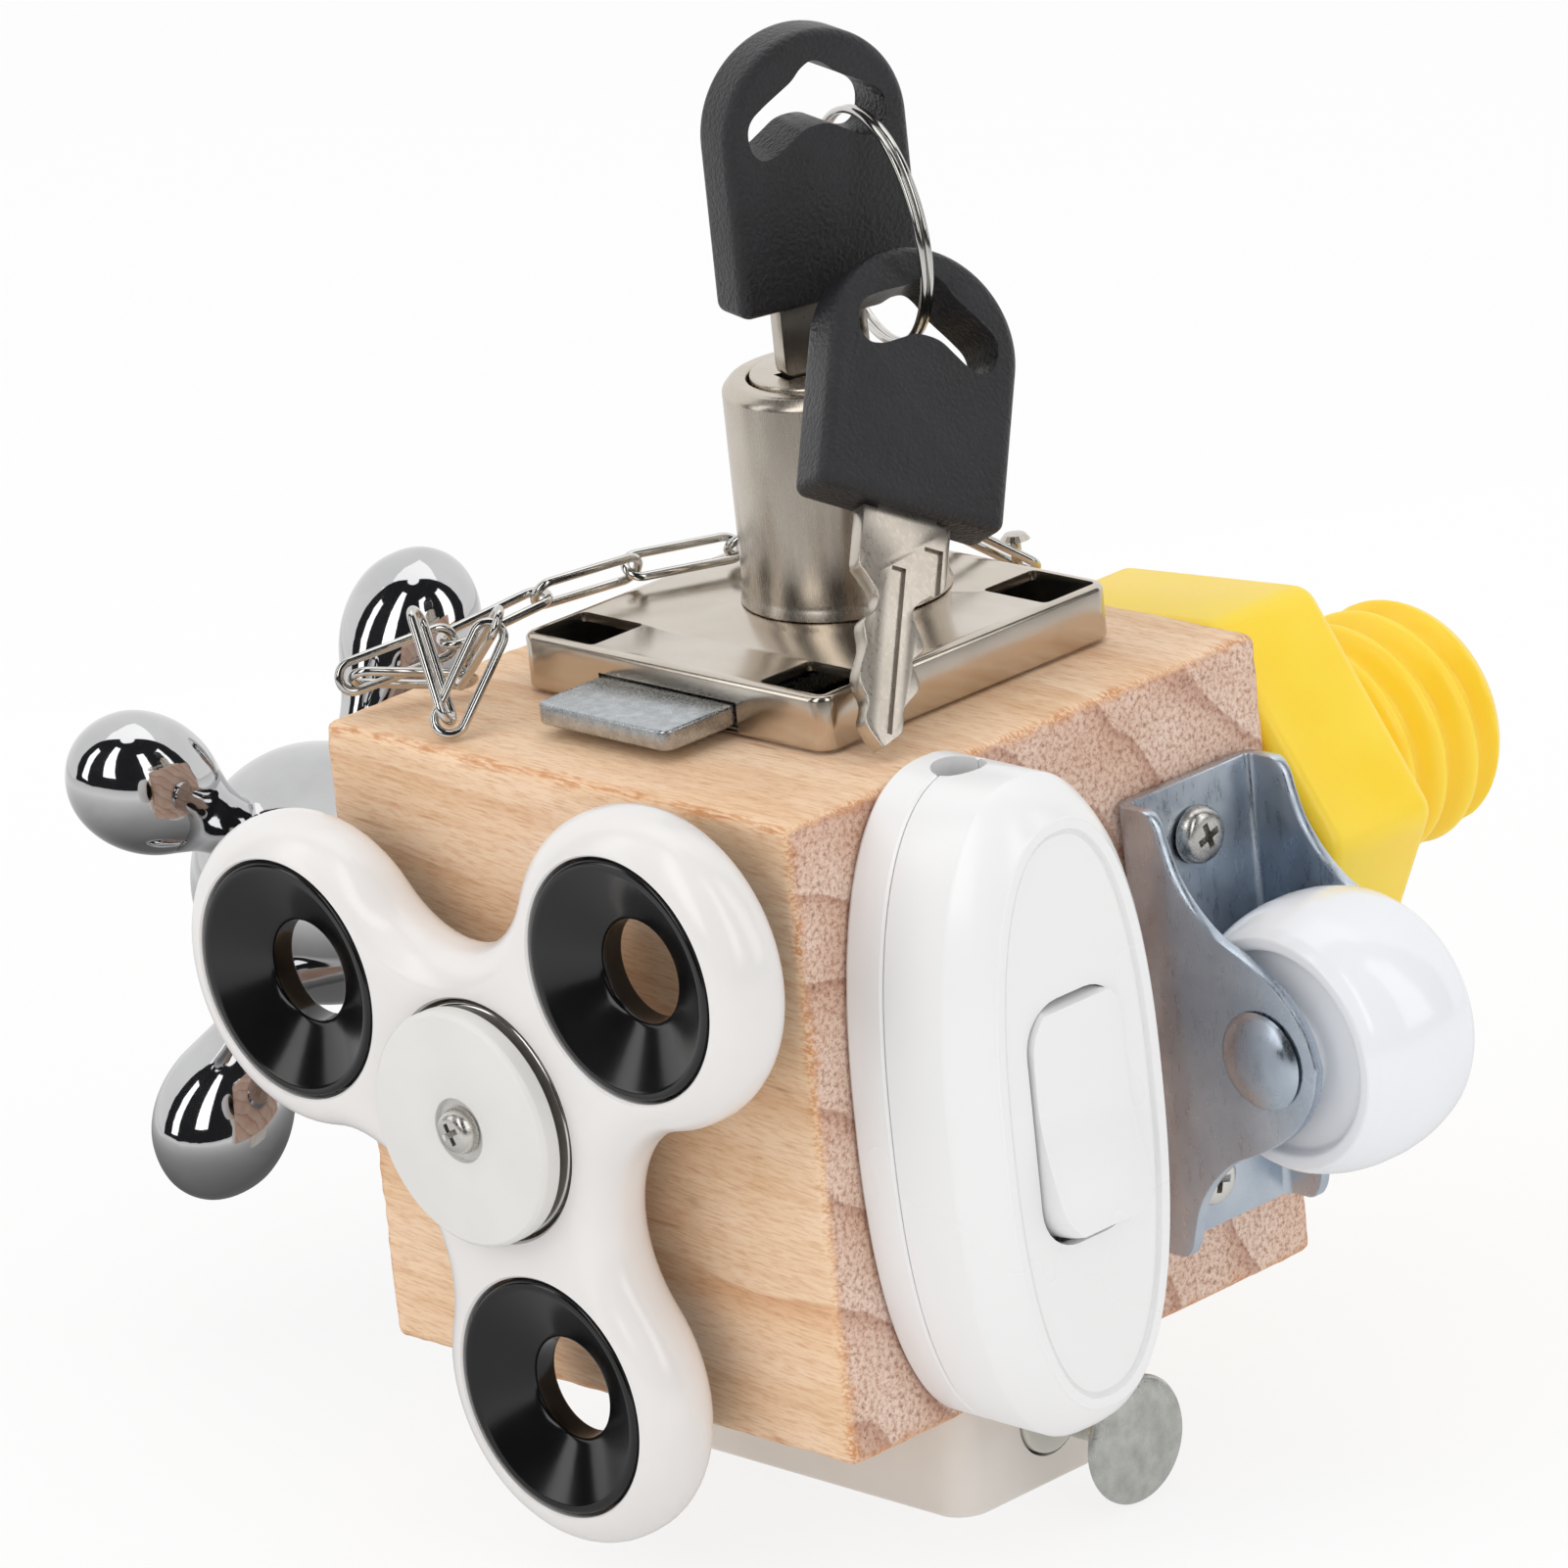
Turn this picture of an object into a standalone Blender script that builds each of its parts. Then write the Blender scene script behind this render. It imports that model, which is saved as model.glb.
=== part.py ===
# Wooden busy cube: a pine cube with a different thing to turn, press, spin or push on every face.
# Metres, +Z up. The origin is the middle of the underside of the push latch that the cube stands on.
# The spinner faces -Y, the switch and the castor +X, the tap handle -X, the toy bolt +Y, the lock +Z.

from math import asin, atan2, cos, pi, radians, sin, sqrt

import bmesh
import bpy
from mathutils import Euler, Matrix, Vector

# Clearances that mating pieces share
GAP = 0.0003
OVERRUN = 0.004
WELD = 0.000001

# Pine cube
BLOCK_SIDE = 0.060
BLOCK_EDGE = 0.0011

# Push latch under the cube
LATCH_LENGTH = 0.048
LATCH_WIDTH = 0.0234
LATCH_HEIGHT = 0.013
LATCH_CORNER = 0.0032
LATCH_EDGE = 0.0004
LATCH_SCREW_SPREAD = 0.018
LATCH_SCREW_BACK = 0.0062
PIN_RADIUS = 0.0013
PIN_REACH = 0.0116
PIN_INSIDE = 0.026
PIN_TRAVEL = 0.009
PIN_HEAD_RADIUS = 0.0061
PIN_HEAD_THICKNESS = 0.0013
BUSH_RADIUS = 0.0035
BUSH_DEPTH = 0.0060
BUSH_STAND = 0.0004

# Spinner on the front
SPINNER_RIGHT = -0.0006
SPINNER_UP = 0.0011
SPINNER_TURN = radians(40.3)
SPINNER_ARMS = 3
SPINNER_REACH = 0.026
SPINNER_STANDOFF = 0.0038
SPINNER_THICKNESS = 0.0082
SPINNER_EDGE = 0.0036
LOBE_RADIUS = 0.0147
WAIST_RADIUS = 0.0150
WEIGHT_RADIUS = 0.011
WEIGHT_BORE = 0.0047
WEIGHT_RIM = 0.0007
WEIGHT_DISH = 0.0024
WEIGHT_LIP = 0.0009
BEARING_RADIUS = 0.011
BEARING_BORE = 0.004
BEARING_WIDTH = 0.007
BEARING_RACE = 0.0022
SPACER_RADIUS = 0.0052
CAP_RADIUS = 0.011
CAP_THICKNESS = 0.0016
CAP_RAISE = 0.0012
CAP_RECESS = 0.0007

# Screws
SCREW_HEAD_RADIUS = 0.0027
SCREW_HEAD_HEIGHT = 0.0016
SCREW_SHANK_RADIUS = 0.0013
SCREW_BITE = 0.012
CROSS_WIDTH = 0.0008
CROSS_DEPTH = 0.0009

# Tap handle on the left
TAP_UP = -0.0008
TAP_TURN = radians(37.5)
TAP_ARMS = 4
TAP_ARM_REACH = 0.0269
TAP_ARM_HEIGHT = 0.0385
TAP_NECK_RADIUS = 0.0030
TAP_HEIGHT = 0.0475
TAP_FOOT_RADIUS = 0.0138
TAP_STEM_RADIUS = 0.0042
TAP_STEM_HEIGHT = 0.0345
TAP_WEB = 0.0022
TAP_SCREW_SHANK = 0.0019
TAP_SCREW_HEAD = 0.0040
TAP_SCREW_HEAD_HEIGHT = 0.0024
TAP_BUTTON_RADIUS = 0.0068
TAP_BUTTON_HEIGHT = 0.0020

# Cord switch on the right
SWITCH_RIGHT = -0.0136
SWITCH_UP = 0.0012
SWITCH_WIDTH = 0.0252
SWITCH_LENGTH = 0.0612
SWITCH_BASE_HEIGHT = 0.0046
SWITCH_COVER_HEIGHT = 0.0070
SWITCH_SHOULDER = 0.0042
SWITCH_WALL = 0.0018
SWITCH_RIM_WIDTH = 0.0194
SWITCH_RIM_LENGTH = 0.0540
SWITCH_PANEL_WIDTH = 0.0170
SWITCH_PANEL_LENGTH = 0.0518
SWITCH_PANEL_SINK = 0.0004
SWITCH_SCREW_SPREAD = 0.0190
CORD_HOLE_WIDTH = 0.0062
ROCKER_WIDTH = 0.0112
ROCKER_LENGTH = 0.0222
ROCKER_CORNER = 0.0042
ROCKER_RAISE = 0.0022
ROCKER_DEPTH = 0.0052
ROCKER_TILT = radians(7.0)

# Castor on the right
CASTOR_RIGHT = 0.0180
CASTOR_UP = -0.0012
CASTOR_LENGTH = 0.0426
CASTOR_WIDTH = 0.0180
CASTOR_SHEET = 0.0012
CASTOR_REACH = 0.0224
CASTOR_AXLE_OUT = 0.0164
CASTOR_SCREW_SPREAD = 0.0160
CASTOR_SCREW_SHIFT = 0.0026
WHEEL_RADIUS = 0.0127
WHEEL_FACE_RADIUS = 0.0093
WHEEL_RIM_RADIUS = 0.0108
WHEEL_DISH = 0.0016
WHEEL_HUB_RADIUS = 0.0042
AXLE_RADIUS = 0.0018
RIVET_RADIUS = 0.0046
RIVET_DOME = 0.0014

# Toy bolt on the back
BOLT_LEFT = -0.0135
BOLT_UP = 0.0083
BOLT_TURN = radians(-4.2)
BOLT_HEX_RADIUS = 0.0236
BOLT_HEX_HEIGHT = 0.0140
BOLT_HEX_EDGE = 0.0016
BOLT_THREAD_RADIUS = 0.0108
BOLT_THREAD_HEIGHT = 0.0008
BOLT_THREAD_PITCH = 0.0043
BOLT_THREAD_LENGTH = 0.0240
BOLT_END_ROUND = 0.0042
BOLT_SCREW_RADIUS = 0.0020
BOLT_SCREW_HEAD = 0.0040
BOLT_POCKET_RADIUS = 0.0050
BOLT_POCKET_DEPTH = 0.0230

# Drawer lock on the top
LOCK_RIGHT = 0.0002
LOCK_BACK = 0.0038
CASE_WIDTH = 0.0390
CASE_DEPTH = 0.0370
CASE_HEIGHT = 0.0052
CASE_SHEET = 0.0009
CASE_CORNER = 0.0018
WELL_WIDTH = 0.0080
WELL_DEPTH = 0.0066
PLATE_SHEET = 0.0006
BARREL_RIGHT = -0.0008
BARREL_BACK = 0.0052
BARREL_RADIUS = 0.0094
BARREL_HEIGHT = 0.0206
BARREL_CHAMFER = 0.0009
PLUG_RADIUS = 0.0068
PLUG_TAIL_RADIUS = 0.0025
DEADBOLT_RIGHT = -0.0004
DEADBOLT_WIDTH = 0.0170
DEADBOLT_THICKNESS = 0.0020
DEADBOLT_THROW = 0.0084
DEADBOLT_CORNER = 0.0012
DEADBOLT_TAIL = 0.0046
CAM_SHEET = 0.0007
CAM_HUB_RADIUS = 0.0040
CAM_PIN_RADIUS = 0.0012
CAM_PIN_PLAY = 0.0005
PLUG_SWEEP = radians(90.0)

# Keys, drawn from the tip of the blade upwards
KEY_TURN = radians(75.0)
KEY_BLADE_LENGTH = 0.0222
KEY_BLADE_WIDTH = 0.0085
KEY_BLADE_THICKNESS = 0.0019
KEY_BIT_LENGTH = 0.0155
KEY_BIT_WIDTH = 0.0062
KEY_BIT_CUT = 0.0008
KEY_POINT = 0.0022
KEY_TANG_WIDTH = 0.0060
KEY_TANG_LENGTH = 0.0060
KEY_GROOVE_WIDTH = 0.0012
KEY_GROOVE_DEPTH = 0.0004
KEY_HEAD_WIDTH = 0.0188
KEY_HEAD_HEIGHT = 0.0250
KEY_HEAD_THICKNESS = 0.0056
KEY_HEAD_EDGE = 0.0011
KEY_HEAD_ASIDE = 0.0004
KEY_HEAD_STANDOFF = 0.0063

# Split ring through both keys, placed from the middle of the plug's face
RING_RADIUS = 0.01078
RING_WIRE = 0.00046
RING_PITCH = 0.00105
RING_TURNS = 2
RING_RIGHT = 0.003247
RING_BACK = 0.004914
RING_RISE = 0.012288
RING_HEADING = radians(69.8)
RING_DIP = radians(1.8)
RING_START = radians(90.0)
RING_HOOK_ACROSS = 0.00543
RING_HOOK_UP = 0.0166

# Spare key that hangs on the ring, placed by its tip from the middle of the plug's face
SPARE_RIGHT = 0.0255
SPARE_BACK = -0.0219
SPARE_DROP = 0.0257
SPARE_HOOK_ACROSS = 0.00039
SPARE_HOOK_UP = 0.04197

# Chain of oval wire links
LINK_PITCH = 0.0100
LINK_WIDTH = 0.0028
LINK_WIRE = 0.00043
LINK_LAP = 0.00118
CHAIN_START_RIGHT = 0.0040
CHAIN_START_BACK = 0.0284
CHAIN_START_RISE = 0.00255
CHAIN_HEADINGS = (239.5, 202.6, 232.7, 246.4, 258.9, 256.3, 242.7, 57.1, 348.5, 272.6, 154.1)
CHAIN_CLIMBS = (34.9, 8.9, -14.9, 0.9, -0.3, -10.0, -10.4, -10.7, 43.6, -45.4, 49.1)
CHAIN_ROLLS = (26.6, 142.3, 42.3, 147.7, 61.2, 171.5, 99.6, 140.8, 51.5, 143.4, 56.2)
NAIL_RADIUS = 0.0005
NAIL_HEAD_RADIUS = 0.0014
NAIL_HEAD_HEIGHT = 0.0006
NAIL_STAND = 0.0056
NAIL_BITE = 0.006

# Proportions, as shares of the sizes that they follow
CASTOR_LEG_SHARES = (
    (0.00, 1.00), (0.17, 1.00), (0.23, 0.95), (0.26, 0.85), (0.30, 0.74), (0.38, 0.62),
    (0.50, 0.51), (0.64, 0.44), (0.76, 0.37), (0.87, 0.28), (0.96, 0.15), (1.00, 0.00),
)
TAP_HUB_SHARES = (
    (0.005, 1.00), (0.045, 1.00), (0.09, 0.93), (0.20, 0.79), (0.36, 0.735), (0.50, 0.75),
    (0.64, 0.87), (0.74, 0.955), (0.82, 0.976), (0.89, 0.92), (0.95, 0.80), (0.985, 0.66), (1.00, 0.58),
)
TAP_ARM_SHARES = (
    (0.30, 0.00), (0.30, 1.10), (0.38, 1.00), (0.48, 1.02), (0.60, 1.24), (0.70, 1.62), (0.79, 1.98),
    (0.88, 2.17), (0.97, 2.19), (1.06, 2.02), (1.13, 1.68), (1.19, 1.16), (1.225, 0.60), (1.238, 0.0),
)
KEY_HOLE_SHARES = (
    (0.00, 0.892), (0.064, 0.872), (0.117, 0.836), (0.181, 0.808), (0.277, 0.768), (0.351, 0.728),
    (0.378, 0.676), (0.362, 0.608), (0.309, 0.572), (0.234, 0.580), (0.149, 0.616), (0.074, 0.648),
    (0.00, 0.656),
)
KEY_BIT_SHARES = (0.35, 1.00, 0.45, 0.00, 0.75, 0.30, 1.00, 0.55, 0.10, 0.80)
SPARE_UP_SHARES = (-0.3445, 0.5672, 0.7481)
SPARE_ACROSS_SHARES = (0.36, 0.8157, -0.4528)
WHEEL_TREAD_SHARES = ((0.50, 0.0), (0.40, 0.47), (0.24, 0.83), (0.08, 0.985))

# Levels that several pieces are set by
BLOCK_BOTTOM = LATCH_HEIGHT + GAP
BLOCK_MIDDLE = BLOCK_BOTTOM + BLOCK_SIDE / 2
BLOCK_TOP = BLOCK_BOTTOM + BLOCK_SIDE
BOLT_TRACK = GAP + PLATE_SHEET + GAP
CAM_LEVEL = BOLT_TRACK + DEADBOLT_THICKNESS + GAP
BARREL_SEAT = GAP + CASE_HEIGHT + GAP
PLUG_TOP = BARREL_SEAT + BARREL_HEIGHT + GAP
CAM_REACH = DEADBOLT_THROW / (2 * sin(PLUG_SWEEP / 2))


def clear_scene():
    for thing in list(bpy.data.objects):
        bpy.data.objects.remove(thing, do_unlink=True)


def material(name, colour, roughness, metallic=0.0):
    made = bpy.data.materials.get(name) or bpy.data.materials.new(name)
    made.use_nodes = True
    shader = made.node_tree.nodes["Principled BSDF"]
    shader.inputs["Base Color"].default_value = (*colour, 1.0)
    shader.inputs["Roughness"].default_value = roughness
    shader.inputs["Metallic"].default_value = metallic
    made.diffuse_color = (*colour, 1.0)
    return made


def pine():
    return material("pine", (0.72, 0.50, 0.30), 0.6)


def clear_plastic():
    return material("clear_plastic", (0.80, 0.82, 0.82), 0.2)


def white_plastic():
    return material("white_plastic", (0.85, 0.85, 0.84), 0.35)


def latch_plastic():
    return material("latch_plastic", (0.68, 0.65, 0.61), 0.45)


def black_plastic():
    return material("black_plastic", (0.03, 0.03, 0.032), 0.45)


def black_enamel():
    return material("black_enamel", (0.015, 0.014, 0.015), 0.2)


def yellow_plastic():
    return material("yellow_plastic", (0.95, 0.60, 0.03), 0.35)


def chrome():
    return material("chrome", (0.75, 0.76, 0.78), 0.08, 1.0)


def satin_nickel():
    return material("satin_nickel", (0.60, 0.56, 0.50), 0.32, 1.0)


def zinc_plate():
    return material("zinc_plate", (0.55, 0.60, 0.66), 0.30, 1.0)


def bright_steel():
    return material("bright_steel", (0.66, 0.65, 0.63), 0.25, 1.0)


def wheel_nylon():
    return material("wheel_nylon", (0.88, 0.88, 0.90), 0.25)


def face_mount(name, right, back, up, turn):
    """An empty in the middle of a face: its Z points out of the cube, its X to the right of the face."""
    mount = bpy.data.objects.new(name, None)
    mount.location = (right, back, up)
    mount.rotation_euler = turn
    bpy.context.scene.collection.objects.link(mount)
    return mount


def pivot(name, parent, place, turn=(0.0, 0.0, 0.0)):
    made = bpy.data.objects.new(name, None)
    made.parent = parent
    made.location = place
    made.rotation_euler = turn
    bpy.context.scene.collection.objects.link(made)
    return made


def finish(name, bm, finish_material, parent, place=(0.0, 0.0, 0.0), turn=(0.0, 0.0, 0.0), smooth=30.0):
    """Turn a bmesh into a named object whose round faces are shaded smooth."""
    bmesh.ops.remove_doubles(bm, verts=bm.verts, dist=WELD)
    bmesh.ops.recalc_face_normals(bm, faces=bm.faces)
    mesh = bpy.data.meshes.new(name)
    bm.to_mesh(mesh)
    bm.free()
    mesh.shade_smooth()
    mesh.set_sharp_from_angle(angle=radians(smooth))
    if finish_material is not None:
        mesh.materials.append(finish_material)
    made = bpy.data.objects.new(name, mesh)
    made.parent = parent
    made.location = place
    made.rotation_euler = turn
    bpy.context.scene.collection.objects.link(made)
    return made


def turned(profile, steps, start=0.0):
    """Revolve a list of (radius, height) points about Z. A profile off the axis at both ends is closed."""
    bm = bmesh.new()
    verts = [bm.verts.new((r * cos(start), r * sin(start), z)) for r, z in profile]
    pairs = list(zip(verts, verts[1:]))
    if profile[0][0] > 0.0 and profile[-1][0] > 0.0:
        pairs.append((verts[-1], verts[0]))
    edges = [bm.edges.new(pair) for pair in pairs]
    bmesh.ops.spin(bm, geom=verts + edges, cent=(0, 0, 0), axis=(0, 0, 1), angle=2 * pi,
                   steps=steps, use_merge=True, use_duplicate=False)
    bmesh.ops.remove_doubles(bm, verts=bm.verts, dist=WELD)
    return bm


def tube_profile(outer, inner, low, high):
    return [(outer, high), (outer, low), (inner, low), (inner, high)]


def rod_profile(radius, low, high):
    return [(0.0, high), (radius, high), (radius, low), (0.0, low)]


def slab(outline, low, high):
    """Extrude a closed outline of (x, y) points from one height to another."""
    bm = bmesh.new()
    face = bm.faces.new([bm.verts.new((x, y, low)) for x, y in outline])
    pushed = bmesh.ops.extrude_face_region(bm, geom=[face])
    top = [item for item in pushed["geom"] if isinstance(item, bmesh.types.BMVert)]
    bmesh.ops.translate(bm, verts=top, vec=(0, 0, high - low))
    return bm


def box(width, depth, low, high):
    outline = [(side * width / 2, end * depth / 2) for side, end in ((-1, -1), (1, -1), (1, 1), (-1, 1))]
    return slab(outline, low, high)


def arc(centre, radius, begin, end, steps):
    return [(centre[0] + radius * cos(begin + (end - begin) * k / steps),
             centre[1] + radius * sin(begin + (end - begin) * k / steps)) for k in range(steps + 1)]


def rounded_rectangle(width, length, corner, steps=4):
    points = []
    for k, (side, end) in enumerate(((1, 1), (-1, 1), (-1, -1), (1, -1))):
        centre = (side * (width / 2 - corner), end * (length / 2 - corner))
        points += arc(centre, corner, k * pi / 2, (k + 1) * pi / 2, steps)
    return points


def oval(width, length, steps=32, fullness_share=0.84):
    """A cord switch's outline: an ellipse filled out a little towards its corners."""
    points = []
    for k in range(steps):
        angle = 2 * pi * k / steps
        x, y = cos(angle), sin(angle)
        points.append((width / 2 * abs(x) ** fullness_share * (1 if x > 0 else -1),
                       length / 2 * abs(y) ** fullness_share * (1 if y > 0 else -1)))
    return points


def placed(bm, place):
    bmesh.ops.translate(bm, verts=bm.verts, vec=place)
    return bm


def joined(*parts):
    """Gather several separate bmeshes in one, such as the cutters of one piece."""
    whole = bmesh.new()
    for part in parts:
        mesh = bpy.data.meshes.new("scrap")
        part.to_mesh(mesh)
        part.free()
        whole.from_mesh(mesh)
        bpy.data.meshes.remove(mesh)
    return whole


def cut(target, bm, name, operation="DIFFERENCE", like=None):
    """Cut a piece with a bmesh in the piece's own frame, or in that of another object."""
    host = like or target
    tool = finish(name, bm, None, host.parent, host.location, host.rotation_euler)
    tool.hide_render = True
    tool.display_type = "WIRE"
    step = target.modifiers.new(name, "BOOLEAN")
    step.operation = operation
    step.object = tool
    return tool


def round_edges(target, width, segments, angle=50.0):
    step = target.modifiers.new("rounded_edges", "BEVEL")
    step.width = width
    step.segments = segments
    step.limit_method = "ANGLE"
    step.angle_limit = radians(angle)
    return step


def cross_recess(top, depth=CROSS_DEPTH, length=SCREW_HEAD_RADIUS):
    arm = box(length * 4 / 3, CROSS_WIDTH, top - depth, top + OVERRUN)
    across = box(CROSS_WIDTH, length * 4 / 3, top - depth, top + OVERRUN)
    return arm, across


def screw(name, parent, place, bite, head=SCREW_HEAD_RADIUS, shank=SCREW_SHANK_RADIUS,
          height=SCREW_HEAD_HEIGHT, steps=10):
    """A cross-recessed pan-head screw whose head rests on Z = 0 and whose shank goes down."""
    dome = [(0.0, height), (head * 0.7, height * 0.86), (head, height * 0.3), (head, 0.0)]
    profile = dome + [(shank, 0.0), (shank, shank - bite), (0.0, -bite)]
    made = finish(name, turned(profile, steps), bright_steel(), parent, place)
    arm, across = cross_recess(height)
    cut(made, arm, name + "_slot_a")
    cut(made, across, name + "_slot_b")
    return made


def hole(radius, low, high, place=(0.0, 0.0, 0.0), steps=12):
    return placed(turned(rod_profile(radius, low, high), steps), place)


def make_block(mounts):
    block = finish("block", box(BLOCK_SIDE, BLOCK_SIDE, -BLOCK_SIDE / 2, BLOCK_SIDE / 2), pine(), None,
                   (0, 0, BLOCK_MIDDLE))
    round_edges(block, BLOCK_EDGE, 2)
    for mount, radius, bite, places in block_holes():
        drills = [hole(radius + GAP, -bite - GAP, OVERRUN, place, 8) for place in places]
        tool = finish("drill_" + mount, joined(*drills), None, mounts[mount])
        tool.hide_render = True
        tool.display_type = "WIRE"
        step = block.modifiers.new(tool.name, "BOOLEAN")
        step.operation = "DIFFERENCE"
        step.object = tool
    return block


def block_holes():
    """Which screws go into which face of the cube, how thick, how deep and where."""
    nail = chain_nail_place()
    wells = [(LOCK_RIGHT + x, LOCK_BACK + y, 0) for x, y in well_centres()]
    return (
        ("front", SCREW_SHANK_RADIUS, SCREW_BITE, [(SPINNER_RIGHT, SPINNER_UP, 0)]),
        ("left", TAP_SCREW_SHANK, SCREW_BITE, [(0, TAP_UP, 0)]),
        ("back", BOLT_SCREW_RADIUS, SCREW_BITE, [(BOLT_LEFT, BOLT_UP, 0)]),
        ("right", SCREW_SHANK_RADIUS, SCREW_BITE,
         [(SWITCH_RIGHT, SWITCH_UP + side * SWITCH_SCREW_SPREAD, 0) for side in (1, -1)]
         + [(CASTOR_RIGHT + x, CASTOR_UP + y, 0) for x, y in castor_screw_places()]),
        ("top", SCREW_SHANK_RADIUS, SCREW_BITE / 2, wells),
        ("top_nail", NAIL_RADIUS, NAIL_BITE, [(nail.x, nail.y, 0)]),
        ("bottom", SCREW_SHANK_RADIUS, SCREW_BITE,
         [(side * LATCH_SCREW_SPREAD, -LATCH_SCREW_BACK, 0) for side in (1, -1)]),
    )


def make_latch():
    outline = rounded_rectangle(LATCH_LENGTH, LATCH_WIDTH, LATCH_CORNER)
    body = finish("latch_body", slab(outline, 0, LATCH_HEIGHT), latch_plastic(), None)
    round_edges(body, LATCH_EDGE, 1)
    far = -PIN_INSIDE - PIN_TRAVEL - GAP
    profile = [(0.0, OVERRUN), (BUSH_RADIUS + GAP, OVERRUN), (BUSH_RADIUS + GAP, -BUSH_DEPTH - GAP),
               (PIN_RADIUS + GAP, -BUSH_DEPTH - GAP), (PIN_RADIUS + GAP, far), (0.0, far)]
    bore = turned(profile, 20)
    bmesh.ops.rotate(bore, verts=bore.verts, cent=(0, 0, 0), matrix=Matrix.Rotation(pi / 2, 3, "Y"))
    cut(body, placed(bore, (LATCH_LENGTH / 2, 0, LATCH_HEIGHT / 2)), "latch_bore")
    floor = LATCH_HEIGHT / 2
    for side in (-1, 1):
        place = (side * LATCH_SCREW_SPREAD, LATCH_SCREW_BACK, 0)
        pocket = hole(SCREW_HEAD_RADIUS + GAP, -OVERRUN, floor / 2, place)
        passage = hole(SCREW_SHANK_RADIUS + GAP, -OVERRUN, LATCH_HEIGHT + OVERRUN, place)
        cut(body, pocket, "latch_pocket_%d" % side)
        cut(body, passage, "latch_passage_%d" % side)
    return body


def make_latch_pin():
    seat = pivot("latch_slide", None, (LATCH_LENGTH / 2, 0, LATCH_HEIGHT / 2), (0, pi / 2, 0))
    bush = tube_profile(BUSH_RADIUS, PIN_RADIUS + GAP, -BUSH_DEPTH, BUSH_STAND)
    finish("pin_bush", turned(bush, 20), clear_plastic(), seat)
    tip = PIN_REACH
    back = PIN_REACH - PIN_HEAD_THICKNESS
    head = [(0.0, tip), (PIN_HEAD_RADIUS * 0.9, tip), (PIN_HEAD_RADIUS, tip - PIN_HEAD_THICKNESS * 0.3),
            (PIN_HEAD_RADIUS, back + PIN_HEAD_THICKNESS * 0.2), (PIN_HEAD_RADIUS * 0.94, back)]
    shank = [(PIN_RADIUS * 1.4, back), (PIN_RADIUS, back - PIN_RADIUS * 0.6),
             (PIN_RADIUS, PIN_RADIUS * 0.3 - PIN_INSIDE), (PIN_RADIUS * 0.7, -PIN_INSIDE)]
    shank += [(0.0, -PIN_INSIDE)]
    return finish("latch_pin", turned(head + shank, 16), bright_steel(), seat)


def spinner_outline():
    """Three round lobes joined by hollow arcs that touch both of their neighbours."""
    fillet = (LOBE_RADIUS ** 2 - WAIST_RADIUS ** 2 - SPINNER_REACH ** 2 + SPINNER_REACH * WAIST_RADIUS)
    fillet = fillet / (2 * WAIST_RADIUS - SPINNER_REACH - 2 * LOBE_RADIUS)
    step = 2 * pi / SPINNER_ARMS
    points = []
    for k in range(SPINNER_ARMS):
        aim = SPINNER_TURN + k * step
        lobe = Vector((cos(aim), sin(aim))) * SPINNER_REACH
        after = Vector((cos(aim + step / 2), sin(aim + step / 2))) * (WAIST_RADIUS + fillet)
        touch = atan2(*(after - lobe).yx)
        half = (touch - aim) % (2 * pi)
        points += arc(lobe, LOBE_RADIUS, aim - half, aim + half, 12)
        turn = touch + pi
        span = ((aim + step / 2 + pi) - turn + pi) % (2 * pi) - pi
        points += arc(after, fillet, turn, turn + 2 * span, 4)[1:-1]
    return points


def make_spinner(mount):
    hub = pivot("spinner_axis", mount, (SPINNER_RIGHT, SPINNER_UP, 0))
    low = SPINNER_STANDOFF
    high = SPINNER_STANDOFF + SPINNER_THICKNESS
    body = finish("spinner_body", slab(spinner_outline(), low, high), white_plastic(), hub)
    round_edges(body, SPINNER_EDGE, 3)
    places = [(0, 0, 0)] + lobe_places()
    drills = [hole(BEARING_RADIUS + GAP, 0, high + OVERRUN, places[0], 24)]
    drills += [hole(WEIGHT_RADIUS + GAP, 0, high + OVERRUN, place, 24) for place in places[1:]]
    for k, drill in enumerate(drills):
        cut(body, drill, "spinner_hole_%d" % k)
    for k, place in enumerate(lobe_places()):
        finish("spinner_weight_%d" % (k + 1), turned(weight_profile(), 24), black_enamel(), hub, place)
    make_bearing(hub)
    return hub


def lobe_places():
    return [(SPINNER_REACH * cos(SPINNER_TURN + k * 2 * pi / SPINNER_ARMS),
             SPINNER_REACH * sin(SPINNER_TURN + k * 2 * pi / SPINNER_ARMS), 0) for k in range(SPINNER_ARMS)]


def weight_profile():
    """A steel ring with a dished face on both sides and a thin lip round its bore."""
    low = SPINNER_STANDOFF
    high = SPINNER_STANDOFF + SPINNER_THICKNESS
    outer = [(WEIGHT_RADIUS, high), (WEIGHT_RADIUS, low)]
    rear = [(WEIGHT_RADIUS - WEIGHT_RIM, low), (WEIGHT_BORE + WEIGHT_LIP, low + WEIGHT_DISH)]
    rear += [(WEIGHT_BORE, low + WEIGHT_DISH + WEIGHT_LIP * 0.5)]
    front = [(r, low + high - z) for r, z in reversed(rear)]
    return outer + rear + front


def bearing_low():
    return SPINNER_STANDOFF + (SPINNER_THICKNESS - BEARING_WIDTH) / 2


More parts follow.
